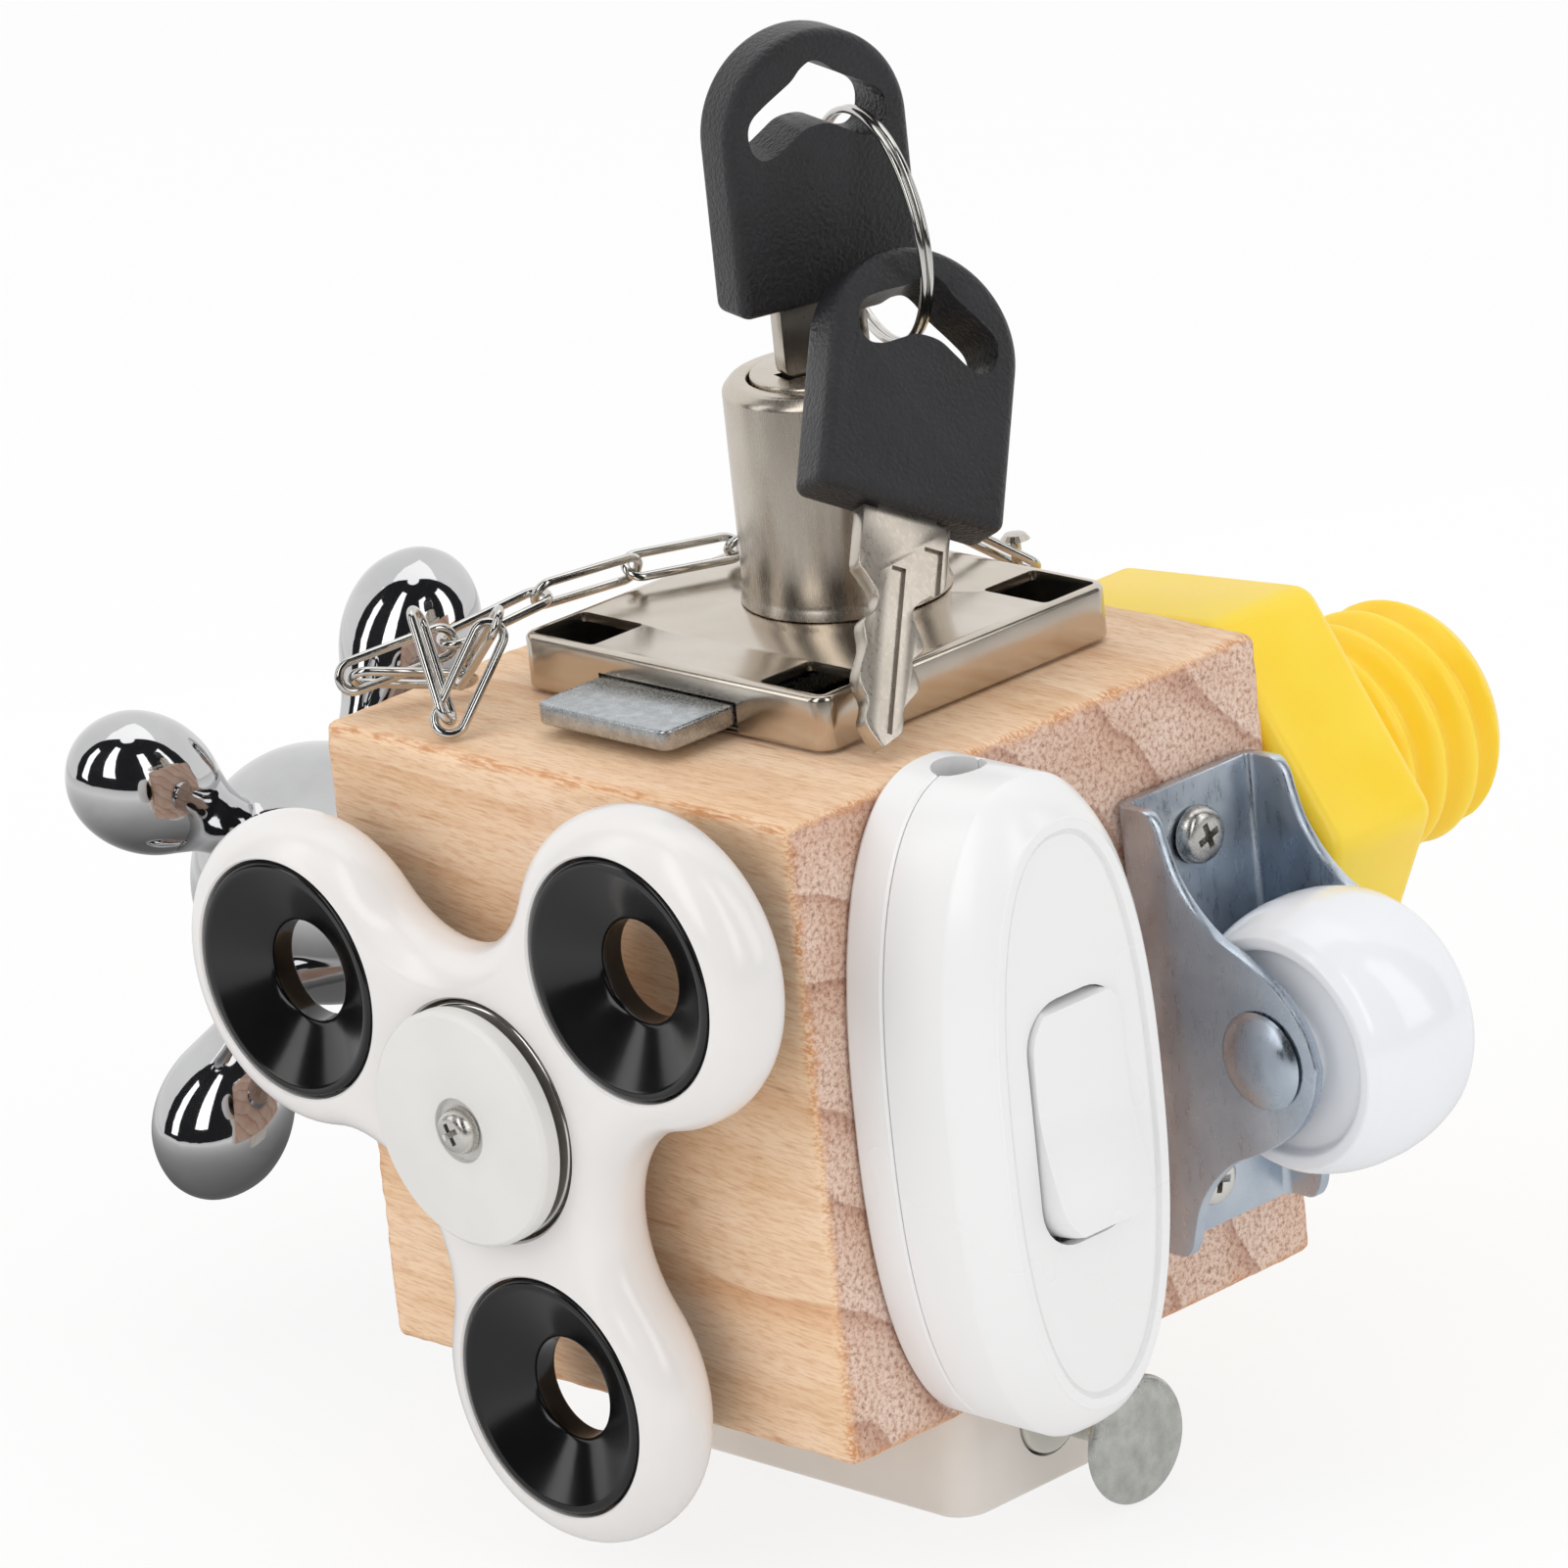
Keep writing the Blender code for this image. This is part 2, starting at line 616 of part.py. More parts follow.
def make_bearing(hub):
    low = bearing_low()
    high = low + BEARING_WIDTH
    track = (BEARING_RADIUS + BEARING_BORE) / 2
    outer = tube_profile(BEARING_RADIUS, BEARING_RADIUS - BEARING_RACE, low, high)
    inner = tube_profile(BEARING_BORE + BEARING_RACE, BEARING_BORE, low, high)
    finish("bearing_outer_race", turned(outer, 24), bright_steel(), hub)
    finish("bearing_inner_race", turned(inner, 20), bright_steel(), hub)
    width = (BEARING_RADIUS - BEARING_BORE) / 2 - BEARING_RACE - GAP
    cage = tube_profile(track + width, track - width, low + BEARING_WIDTH / 4, high - BEARING_WIDTH / 4)
    finish("bearing_cage", turned(cage, 20), bright_steel(), hub)


def make_spinner_cap(hub):
    """The pieces that stand still while the spinner turns: spacer, cap and screw."""
    low = bearing_low()
    seat = low + BEARING_WIDTH + GAP
    under = SPINNER_STANDOFF + SPINNER_THICKNESS + CAP_RAISE
    face = under + CAP_THICKNESS
    pass_radius = SCREW_SHANK_RADIUS + GAP
    spacer = tube_profile(SPACER_RADIUS, pass_radius, GAP, low - GAP)
    finish("spinner_spacer", turned(spacer, 16), white_plastic(), hub)
    sink = face - CAP_RECESS
    plug = low + BEARING_WIDTH / 2
    boss = BEARING_BORE - GAP
    cap = [(CAP_RADIUS * 0.95, face), (CAP_RADIUS, face - CAP_THICKNESS * 0.35), (CAP_RADIUS, under),
           (SPACER_RADIUS, under), (SPACER_RADIUS, seat), (boss, seat), (boss, plug), (pass_radius, plug),
           (pass_radius, sink), (SCREW_HEAD_RADIUS + GAP, sink), (SCREW_HEAD_RADIUS + GAP, face)]
    finish("spinner_cap", turned(cap, 24), white_plastic(), hub)
    screw("spinner_screw", hub, (0, 0, sink + GAP), sink + GAP + SCREW_BITE)


def make_tap(mount):
    axis = pivot("tap_axis", mount, (0, TAP_UP, 0))
    shoulder = TAP_STEM_HEIGHT + 2 * GAP
    ledge = shoulder + TAP_WEB
    sink = ledge + GAP + TAP_SCREW_HEAD_HEIGHT + GAP
    hub = [(TAP_FOOT_RADIUS * r, max(GAP, TAP_HEIGHT * z)) for z, r in reversed(TAP_HUB_SHARES)]
    stem, shank, head = (radius + GAP for radius in (TAP_STEM_RADIUS, TAP_SCREW_SHANK, TAP_SCREW_HEAD))
    bore = [(stem, GAP), (stem, shoulder), (shank, shoulder), (shank, ledge), (head, ledge), (head, sink),
            (TAP_BUTTON_RADIUS, sink), (TAP_BUTTON_RADIUS, TAP_HEIGHT)]
    handle = finish("tap_handle", turned(hub + bore, 24), chrome(), axis, smooth=50.0)
    for k in range(TAP_ARMS):
        arm = turned([(TAP_NECK_RADIUS * r, TAP_ARM_REACH * z) for z, r in reversed(TAP_ARM_SHARES)], 10)
        aim = TAP_TURN + k * 2 * pi / TAP_ARMS
        bmesh.ops.rotate(arm, verts=arm.verts, cent=(0, 0, 0), matrix=Matrix.Rotation(pi / 2, 3, "Y"))
        bmesh.ops.rotate(arm, verts=arm.verts, cent=(0, 0, 0), matrix=Matrix.Rotation(aim, 3, "Z"))
        placed(arm, (0, 0, TAP_ARM_HEIGHT))
        cut(handle, arm, "tap_arm_%d" % k, "UNION")
    edge = TAP_BUTTON_RADIUS - GAP
    rise = TAP_BUTTON_HEIGHT / 4
    button = [(0.0, TAP_HEIGHT + rise), (edge * 0.6, TAP_HEIGHT + rise * 0.7), (edge, TAP_HEIGHT - rise),
              (edge, sink + GAP), (0.0, sink + GAP)]
    finish("tap_button", turned(button, 20), chrome(), axis)
    stem = tube_profile(TAP_STEM_RADIUS, shank, GAP, TAP_STEM_HEIGHT)
    finish("tap_stem", turned(stem, 16), satin_nickel(), axis)
    screw("tap_screw", axis, (0, 0, ledge + GAP), ledge + GAP + SCREW_BITE, TAP_SCREW_HEAD, TAP_SCREW_SHANK,
          TAP_SCREW_HEAD_HEIGHT)
    return axis


def make_switch(mount):
    seat = pivot("switch_seat", mount, (SWITCH_RIGHT, SWITCH_UP, 0))
    seam = GAP + SWITCH_BASE_HEIGHT
    make_switch_base(seat, seam)
    make_switch_cover(seat, seam + GAP)
    top = seam + GAP + SWITCH_COVER_HEIGHT + SWITCH_SHOULDER - SWITCH_PANEL_SINK
    make_rocker(seat, top)
    for k, side in enumerate((1, -1)):
        screw("switch_screw_%d" % (k + 1), seat, (0, side * SWITCH_SCREW_SPREAD, GAP + SWITCH_WALL + GAP),
              SCREW_BITE + SWITCH_WALL)


def cord_mouth(side):
    """The round mouth in each end of the shells, half in the base and half in the cover."""
    mouth = turned(rod_profile(CORD_HOLE_WIDTH / 2, -SWITCH_WALL * 3, SWITCH_WALL * 3), 16)
    bmesh.ops.rotate(mouth, verts=mouth.verts, cent=(0, 0, 0), matrix=Matrix.Rotation(pi / 2, 3, "X"))
    return placed(mouth, (0, side * SWITCH_LENGTH / 2, SWITCH_BASE_HEIGHT + 3 * GAP / 2))


def make_switch_base(seat, seam):
    base = finish("switch_base", slab(oval(SWITCH_WIDTH, SWITCH_LENGTH), GAP, seam), white_plastic(), seat)
    inner = oval(SWITCH_WIDTH - 2 * SWITCH_WALL, SWITCH_LENGTH - 2 * SWITCH_WALL)
    cut(base, slab(inner, GAP + SWITCH_WALL, seam + OVERRUN), "switch_tray")
    for k, side in enumerate((1, -1)):
        drill = hole(SCREW_SHANK_RADIUS + GAP, -OVERRUN, seam, (0, side * SWITCH_SCREW_SPREAD, 0))
        cut(base, drill, "switch_base_hole_%d" % k)
        cut(base, cord_mouth(side), "switch_base_mouth_%d" % k)
    return base


def make_switch_cover(seat, low):
    """A shell that slopes in to the rim of a slightly sunk oval panel with a window for the rocker."""
    edge = low + SWITCH_COVER_HEIGHT
    face = edge + SWITCH_SHOULDER
    top = face - SWITCH_PANEL_SINK
    wide = oval(SWITCH_WIDTH, SWITCH_LENGTH)
    middle = oval((SWITCH_WIDTH + SWITCH_RIM_WIDTH) / 2, (SWITCH_LENGTH + SWITCH_RIM_LENGTH) / 2)
    rim = oval(SWITCH_RIM_WIDTH, SWITCH_RIM_LENGTH)
    panel = oval(SWITCH_PANEL_WIDTH, SWITCH_PANEL_LENGTH)
    rings = [(wide, low), (wide, edge), (middle, edge + SWITCH_SHOULDER * 0.66), (rim, face), (panel, top)]
    cover = finish("switch_cover", lofted(rings), white_plastic(), seat)
    inner = oval(SWITCH_WIDTH - 2 * SWITCH_WALL, SWITCH_LENGTH - 2 * SWITCH_WALL)
    roof = oval(SWITCH_PANEL_WIDTH - SWITCH_WALL, SWITCH_PANEL_LENGTH - 2 * SWITCH_WALL)
    levels = (low - OVERRUN, edge - SWITCH_WALL / 2, top - SWITCH_WALL * 0.7)
    cut(cover, lofted(list(zip((inner, inner, roof), levels))), "switch_hollow")
    window = rounded_rectangle(ROCKER_WIDTH + 2 * GAP, ROCKER_LENGTH + 2 * GAP, ROCKER_CORNER)
    cut(cover, slab(window, low, top + OVERRUN), "switch_window")
    for k, side in enumerate((1, -1)):
        cut(cover, cord_mouth(side), "switch_cover_mouth_%d" % k)
    return cover


def lofted(rings):
    """Bridge a stack of outlines with the same number of points and close both ends."""
    bm = bmesh.new()
    loops = []
    for outline, height in rings:
        verts = [bm.verts.new((x, y, height)) for x, y in outline]
        loops.append([bm.edges.new((verts[k - 1], verts[k])) for k in range(len(verts))])
    for lower, upper in zip(loops, loops[1:]):
        bmesh.ops.bridge_loops(bm, edges=lower + upper)
    bmesh.ops.contextual_create(bm, geom=loops[0])
    bmesh.ops.contextual_create(bm, geom=loops[-1])
    return bm


def make_rocker(seat, top):
    """A rocker whose two halves lean away from each other, on a pin that rests in the cover."""
    axis = pivot("rocker_axis", seat, (0, 0, top - ROCKER_DEPTH / 2), (-ROCKER_TILT, 0, 0))
    half = ROCKER_LENGTH / 2
    crest = ROCKER_DEPTH / 2 + ROCKER_RAISE * 0.3
    horn = crest + half * sin(ROCKER_TILT)
    tip = sqrt(half ** 2 - horn ** 2)
    midway = crest + (horn - crest) * 0.36
    side = [(tip * 0.5, midway), (tip, horn), (half, 0.0), (half * 0.97, -ROCKER_DEPTH / 2)]
    outline = [(0.0, crest)] + side + [(-x, y) for x, y in reversed(side)]
    bm = slab(outline, -ROCKER_WIDTH / 2, ROCKER_WIDTH / 2)
    bmesh.ops.rotate(bm, verts=bm.verts, cent=(0, 0, 0), matrix=Matrix.Rotation(pi / 2, 3, "X"))
    bmesh.ops.rotate(bm, verts=bm.verts, cent=(0, 0, 0), matrix=Matrix.Rotation(pi / 2, 3, "Z"))
    rocker = finish("switch_rocker", bm, white_plastic(), axis)
    trim = rounded_rectangle(ROCKER_WIDTH, ROCKER_LENGTH, ROCKER_CORNER)
    cut(rocker, slab(trim, -2 * ROCKER_DEPTH, 2 * ROCKER_DEPTH), "rocker_trim", "INTERSECT")
    return axis


def make_castor(mount):
    seat = pivot("castor_seat", mount, (CASTOR_RIGHT, CASTOR_UP, 0))
    make_castor_bracket(seat)
    face = GAP + CASTOR_SHEET + GAP
    for k, (x, y) in enumerate(castor_screw_places()):
        screw("castor_screw_%d" % (k + 1), seat, (x, y, face), SCREW_BITE + CASTOR_SHEET)
    axis = pivot("castor_axis", seat, (0, 0, CASTOR_AXLE_OUT), (0, pi / 2, 0))
    half = CASTOR_WIDTH / 2 + GAP
    dome = [(0.0, half + RIVET_DOME), (RIVET_RADIUS * 0.5, half + RIVET_DOME * 0.86),
            (RIVET_RADIUS * 0.85, half + RIVET_DOME * 0.5), (RIVET_RADIUS, half + RIVET_DOME * 0.12),
            (RIVET_RADIUS, half), (AXLE_RADIUS, half)]
    other = [(r, -z) for r, z in reversed(dome)]
    finish("castor_axle", turned(dome + other, 14), zinc_plate(), axis)
    make_wheel(axis)
    return axis


def castor_screw_places():
    """The upper screw in the middle of the plate and the lower one nearer to the front ear."""
    return [(0, CASTOR_SCREW_SPREAD), (-CASTOR_SCREW_SHIFT, -CASTOR_SCREW_SPREAD)]


def make_castor_bracket(seat):
    """A steel channel, cut to the outline of its two ears."""
    half = CASTOR_LENGTH / 2
    outer = CASTOR_WIDTH / 2
    inner = outer - CASTOR_SHEET
    floor = GAP + CASTOR_SHEET
    tip = GAP + CASTOR_REACH + OVERRUN
    channel = [(-outer, GAP), (outer, GAP), (outer, tip), (inner, tip), (inner, floor), (-inner, floor),
               (-inner, tip), (-outer, tip)]
    bm = slab(channel, -half, half)
    bmesh.ops.rotate(bm, verts=bm.verts, cent=(0, 0, 0), matrix=Matrix.Rotation(pi / 2, 3, "X"))
    bracket = finish("castor_bracket", bm, zinc_plate(), seat)
    upper = [(GAP + CASTOR_REACH * out, half * up) for out, up in CASTOR_LEG_SHARES]
    lower = [(out, -up) for out, up in reversed(upper[:-1])]
    ear = slab([(-OVERRUN, half)] + upper + lower + [(-OVERRUN, -half)], -outer - OVERRUN, outer + OVERRUN)
    bmesh.ops.rotate(ear, verts=ear.verts, cent=(0, 0, 0), matrix=Matrix.Rotation(-pi / 2, 3, "Y"))
    cut(bracket, ear, "castor_ear", "INTERSECT")
    drill = turned(rod_profile(AXLE_RADIUS + GAP, -outer - OVERRUN, outer + OVERRUN), 20)
    bmesh.ops.rotate(drill, verts=drill.verts, cent=(0, 0, 0), matrix=Matrix.Rotation(pi / 2, 3, "Y"))
    cut(bracket, placed(drill, (0, 0, CASTOR_AXLE_OUT)), "castor_axle_hole")
    for k, (x, y) in enumerate(castor_screw_places()):
        passage = hole(SCREW_SHANK_RADIUS + GAP, -OVERRUN, floor + OVERRUN, (x, y, 0))
        cut(bracket, passage, "castor_screw_hole_%d" % k)
    return bracket


def make_wheel(axis):
    """A barrel-shaped nylon wheel, dished on both sides round a hub that reaches the ears."""
    half = CASTOR_WIDTH / 2 - CASTOR_SHEET - GAP
    face = half - WHEEL_DISH * 0.3
    bore = AXLE_RADIUS + GAP
    crown = WHEEL_RADIUS - WHEEL_RIM_RADIUS
    tread = [(WHEEL_RIM_RADIUS + crown * up, face * out * 2) for out, up in WHEEL_TREAD_SHARES]
    side = [(bore, half), (WHEEL_HUB_RADIUS, half), (WHEEL_HUB_RADIUS, half - WHEEL_DISH),
            (WHEEL_FACE_RADIUS, half - WHEEL_DISH), (WHEEL_FACE_RADIUS, face)]
    one = side + tread
    two = [(r, -z) for r, z in reversed(one)]
    return finish("castor_wheel", turned(one + two, 24), wheel_nylon(), axis, smooth=40.0)


def thread_bmesh():
    """A round thread: rings of points whose radius rises and falls along a helix."""
    around = 20
    along = 26
    bm = bmesh.new()
    low = BOLT_HEX_HEIGHT / 2
    high = GAP + BOLT_HEX_HEIGHT + BOLT_THREAD_LENGTH
    loops = []
    for ring in range(along + 1):
        z = low + (high - low) * ring / along
        shrink = max(0.0, z - (high - BOLT_END_ROUND))
        corner = sqrt(max(0.0, BOLT_END_ROUND ** 2 - shrink ** 2))
        limit = BOLT_THREAD_RADIUS + BOLT_THREAD_HEIGHT - BOLT_END_ROUND + corner
        verts = []
        for step in range(around):
            angle = 2 * pi * step / around
            wave = cos(2 * pi * z / BOLT_THREAD_PITCH - angle)
            radius = min(BOLT_THREAD_RADIUS + BOLT_THREAD_HEIGHT * wave, limit)
            verts.append(bm.verts.new((radius * cos(angle), radius * sin(angle), z)))
        loops.append([bm.edges.new((verts[k - 1], verts[k])) for k in range(around)])
    for lower, upper in zip(loops, loops[1:]):
        bmesh.ops.bridge_loops(bm, edges=lower + upper)
    bmesh.ops.contextual_create(bm, geom=loops[0])
    bmesh.ops.contextual_create(bm, geom=loops[-1])
    return bm


def make_toy_bolt(mount):
    axis = pivot("toy_bolt_axis", mount, (BOLT_LEFT, BOLT_UP, 0), (0, 0, BOLT_TURN))
    corners = [(BOLT_HEX_RADIUS * cos(k * pi / 3), BOLT_HEX_RADIUS * sin(k * pi / 3)) for k in range(6)]
    bolt = finish("toy_bolt", slab(corners, GAP, GAP + BOLT_HEX_HEIGHT), yellow_plastic(), axis)
    round_edges(bolt, BOLT_HEX_EDGE, 2)
    cut(bolt, thread_bmesh(), "toy_bolt_thread", "UNION")
    end = GAP + BOLT_HEX_HEIGHT + BOLT_THREAD_LENGTH
    seat = end - BOLT_POCKET_DEPTH
    cut(bolt, hole(BOLT_POCKET_RADIUS, seat, end + OVERRUN), "toy_bolt_pocket")
    cut(bolt, hole(BOLT_SCREW_RADIUS + GAP, -OVERRUN, end), "toy_bolt_bore")
    screw("toy_bolt_screw", axis, (0, 0, seat + GAP), seat + GAP + SCREW_BITE, BOLT_SCREW_HEAD,
          BOLT_SCREW_RADIUS, SCREW_HEAD_HEIGHT)
    return axis


def well_centres():
    x = CASE_WIDTH / 2 - CASE_SHEET - WELL_WIDTH / 2
    y = CASE_DEPTH / 2 - CASE_SHEET - WELL_DEPTH / 2
    return [(sx * x, sy * y) for sx in (-1, 1) for sy in (-1, 1)]


def make_lock(mount):
    seat = pivot("lock_seat", mount, (LOCK_RIGHT, LOCK_BACK, 0))
    make_lock_case(seat)
    inner = (CASE_WIDTH - 2 * CASE_SHEET - 2 * GAP, CASE_DEPTH - 2 * CASE_SHEET - 2 * GAP)
    plate = finish("lock_base_plate", box(*inner, GAP, GAP + PLATE_SHEET), satin_nickel(), seat)
    for k, (x, y) in enumerate(well_centres()):
        cut(plate, hole(SCREW_SHANK_RADIUS + GAP, -OVERRUN, OVERRUN, (x, y, 0)), "lock_plate_hole_%d" % k)
        screw("lock_screw_%d" % (k + 1), seat, (x, y, GAP + PLATE_SHEET + GAP), SCREW_BITE / 2)
    make_deadbolt(seat)
    axis = pivot("plug_axis", seat, (BARREL_RIGHT, BARREL_BACK, 0))
    top = BARREL_SEAT + BARREL_HEIGHT
    bore = PLUG_RADIUS + GAP
    barrel = [(bore, top), (BARREL_RADIUS - BARREL_CHAMFER, top),
              (BARREL_RADIUS - BARREL_CHAMFER * 0.3, top - BARREL_CHAMFER * 0.3),
              (BARREL_RADIUS, top - BARREL_CHAMFER), (BARREL_RADIUS, BARREL_SEAT), (bore, BARREL_SEAT)]
    finish("lock_barrel", turned(barrel, 28), satin_nickel(), axis)
    make_plug(axis)
    make_cam(axis)
    return axis


def make_lock_case(seat):
    """A pressed pan with its flat side up, open at its four corners over the screws."""
    top = GAP + CASE_HEIGHT
    case = finish("lock_case", slab(rounded_rectangle(CASE_WIDTH, CASE_DEPTH, CASE_CORNER), GAP, top),
                  satin_nickel(), seat)
    inner = (CASE_WIDTH - 2 * CASE_SHEET, CASE_DEPTH - 2 * CASE_SHEET)
    inside = rounded_rectangle(*inner, CASE_CORNER - CASE_SHEET)
    cut(case, slab(inside, -OVERRUN, top - CASE_SHEET), "lock_case_inside")
    for k, (x, y) in enumerate(well_centres()):
        cut(case, placed(box(WELL_WIDTH, WELL_DEPTH, 0, top + OVERRUN), (x, y, 0)), "lock_well_%d" % k)
    slot = box(DEADBOLT_WIDTH + 2 * GAP, 2 * CASE_SHEET + OVERRUN, BOLT_TRACK - GAP, CAM_LEVEL)
    cut(case, placed(slot, (DEADBOLT_RIGHT, -CASE_DEPTH / 2, 0)), "lock_case_slot")
    passage = hole(PLUG_TAIL_RADIUS + GAP, CAM_LEVEL, top + OVERRUN, (BARREL_RIGHT, BARREL_BACK, 0))
    cut(case, passage, "lock_case_passage")
    return case


def make_deadbolt(seat):
    """The flat bolt, with the cross slot that the cam's pin runs in."""
    pin_back = BARREL_BACK - CAM_REACH * sin(PLUG_SWEEP / 2)
    tip = -CASE_DEPTH / 2 - DEADBOLT_THROW
    length = pin_back + DEADBOLT_TAIL - tip
    slide = pivot("deadbolt_slide", seat, (DEADBOLT_RIGHT, tip, BOLT_TRACK))
    flat = rounded_rectangle(DEADBOLT_WIDTH, length, DEADBOLT_CORNER, 3)
    outline = [(x, y + length / 2) for x, y in flat]
    bolt = finish("lock_deadbolt", slab(outline, 0, DEADBOLT_THICKNESS), zinc_plate(), slide)
    play = CAM_PIN_RADIUS + CAM_PIN_PLAY
    near = BARREL_RIGHT - DEADBOLT_RIGHT + CAM_REACH * cos(PLUG_SWEEP / 2) - play
    far = BARREL_RIGHT - DEADBOLT_RIGHT + CAM_REACH + play
    slot = rounded_rectangle(far - near, 2 * play, CAM_PIN_RADIUS, 3)
    cutter = slab(slot, -OVERRUN, DEADBOLT_THICKNESS + OVERRUN)
    cut(bolt, placed(cutter, ((near + far) / 2, pin_back - tip, 0)), "deadbolt_slot")
    return slide


def make_plug(axis):
    low = BARREL_SEAT + GAP
    tail = CAM_LEVEL
    profile = [(0.0, PLUG_TOP), (PLUG_RADIUS - GAP, PLUG_TOP), (PLUG_RADIUS, PLUG_TOP - GAP),
               (PLUG_RADIUS, low), (PLUG_TAIL_RADIUS, low), (PLUG_TAIL_RADIUS, tail), (0.0, tail)]
    plug = finish("lock_plug", turned(profile, 28), satin_nickel(), axis)
    tip = PLUG_TOP + KEY_HEAD_STANDOFF - KEY_BLADE_LENGTH
    flat = (KEY_BLADE_WIDTH + 2 * GAP, KEY_BLADE_THICKNESS + 2 * GAP)
    keyway = box(*flat, tip - 2 * GAP, PLUG_TOP + OVERRUN)
    bmesh.ops.rotate(keyway, verts=keyway.verts, cent=(0, 0, 0), matrix=Matrix.Rotation(KEY_TURN, 3, "Z"))
    cut(plug, keyway, "lock_keyway")
    return plug


def make_cam(axis):
    """A crank on the plug's tail, whose pin reaches down into the bolt's slot."""
    turn = -PLUG_SWEEP / 2
    end = CAM_PIN_RADIUS * 2
    lean = asin((CAM_HUB_RADIUS - end) / CAM_REACH)
    around = arc((0, 0), CAM_HUB_RADIUS, pi / 2 - lean, 3 * pi / 2 + lean, 12)
    around += arc((CAM_REACH, 0), end, lean - pi / 2, pi / 2 - lean, 8)
    plate = slab(around, CAM_LEVEL, CAM_LEVEL + CAM_SHEET)
    cam = finish("lock_cam", plate, zinc_plate(), axis, (0, 0, 0), (0, 0, turn))
    pin = hole(CAM_PIN_RADIUS, BOLT_TRACK, CAM_LEVEL + CAM_SHEET / 2, (CAM_REACH, 0, 0), 16)
    cut(cam, pin, "cam_pin", "UNION")
    cut(cam, hole(PLUG_TAIL_RADIUS + GAP, -OVERRUN, CAM_LEVEL + OVERRUN), "cam_hole")
    return cam


def key_blade_outline():
    """Half of the blade from tip to tang, with cuts along both edges, mirrored to the other side."""
    half = KEY_BLADE_WIDTH / 2
    bit = KEY_BIT_WIDTH / 2
    side = [(GAP, 0.0), (bit * 0.7, KEY_POINT)]
    steps = len(KEY_BIT_SHARES)
    run = KEY_BIT_LENGTH - 2 * KEY_POINT
    for k, share in enumerate(KEY_BIT_SHARES):
        side.append((bit - KEY_BIT_CUT * share, KEY_POINT + run * (k + 1) / (steps + 1)))
    tang = KEY_TANG_WIDTH / 2
    side += [(bit, KEY_BIT_LENGTH - KEY_POINT), (half, KEY_BIT_LENGTH), (half, KEY_BLADE_LENGTH)]
    side += [(tang, KEY_BLADE_LENGTH), (tang, KEY_BLADE_LENGTH + KEY_TANG_LENGTH)]
    return side + [(-x, y) for x, y in reversed(side)]


def key_head_outline():
    """Straight sides under a round arch, drawn from the foot of the head."""
    half = KEY_HEAD_WIDTH / 2
    shoulder = KEY_HEAD_HEIGHT - half
    corner = KEY_HEAD_EDGE
    points = arc((half - corner, corner), corner, -pi / 2, 0, 3)
    points += arc((0, shoulder), half, 0, pi, 14)
    points += arc((corner - half, corner), corner, pi, 3 * pi / 2, 3)
    return points


def key_hole_outline():
    right = [(KEY_HEAD_WIDTH * x, KEY_HEAD_HEIGHT * y) for x, y in KEY_HOLE_SHARES]
    return right + [(-x, y) for x, y in reversed(right[1:-1])]


def upright(bm):
    """Stand a flat outline up, so that its Y becomes Z."""
    bmesh.ops.rotate(bm, verts=bm.verts, cent=(0, 0, 0), matrix=Matrix.Rotation(pi / 2, 3, "X"))
    return bm


def make_key(name, parent, aside):
    """A blade whose tip is at the parent's origin, with a moulded head a little to one side of it."""
    thick = KEY_BLADE_THICKNESS / 2
    flat = upright(slab(key_blade_outline(), -thick, thick))
    blade = finish("key_blade_" + name, flat, bright_steel(), parent)
    away = KEY_BLADE_THICKNESS - KEY_GROOVE_DEPTH
    for k, side in enumerate((1, -1)):
        groove = box(KEY_GROOVE_WIDTH, KEY_BLADE_THICKNESS, KEY_POINT, KEY_BLADE_LENGTH - KEY_POINT * 2)
        cut(blade, placed(groove, (0, side * away, 0)), "key_groove_%s_%d" % (name, k))
    wide = KEY_HEAD_THICKNESS / 2
    foot = Vector((aside, 0, KEY_BLADE_LENGTH + GAP))
    shape = upright(slab(key_head_outline(), -wide, wide))
    head = finish("key_head_" + name, shape, black_plastic(), parent, foot)
    round_edges(head, KEY_HEAD_EDGE, 2, 60.0)
    cut(head, upright(slab(key_hole_outline(), -wide - OVERRUN, wide + OVERRUN)), "key_hole_" + name)
    pocket = box(KEY_TANG_WIDTH + 2 * GAP, KEY_BLADE_THICKNESS + 2 * GAP, -OVERRUN, KEY_TANG_LENGTH + GAP)
    cut(head, placed(pocket, (-aside, 0, 0)), "key_pocket_" + name)


def wire(name, points, radius, cyclic, finish_material, resolution=1):
    """A round wire along a run of points, with its ends closed."""
    curve = bpy.data.curves.new(name, "CURVE")
    curve.dimensions = "3D"
    curve.bevel_depth = radius
    curve.bevel_resolution = resolution
    curve.use_fill_caps = True
    spline = curve.splines.new("POLY")
    spline.points.add(len(points) - 1)
    for target, point in zip(spline.points, points):
        target.co = (*point, 1.0)
    spline.use_cyclic_u = cyclic
    curve.materials.append(finish_material)
    made = bpy.data.objects.new(name, curve)
    bpy.context.scene.collection.objects.link(made)
    return made


def ring_frame():
    """The ring's own turn: its Z is the axle of its coils."""
    return Euler((0.0, pi / 2 - RING_DIP, RING_HEADING), "XYZ")


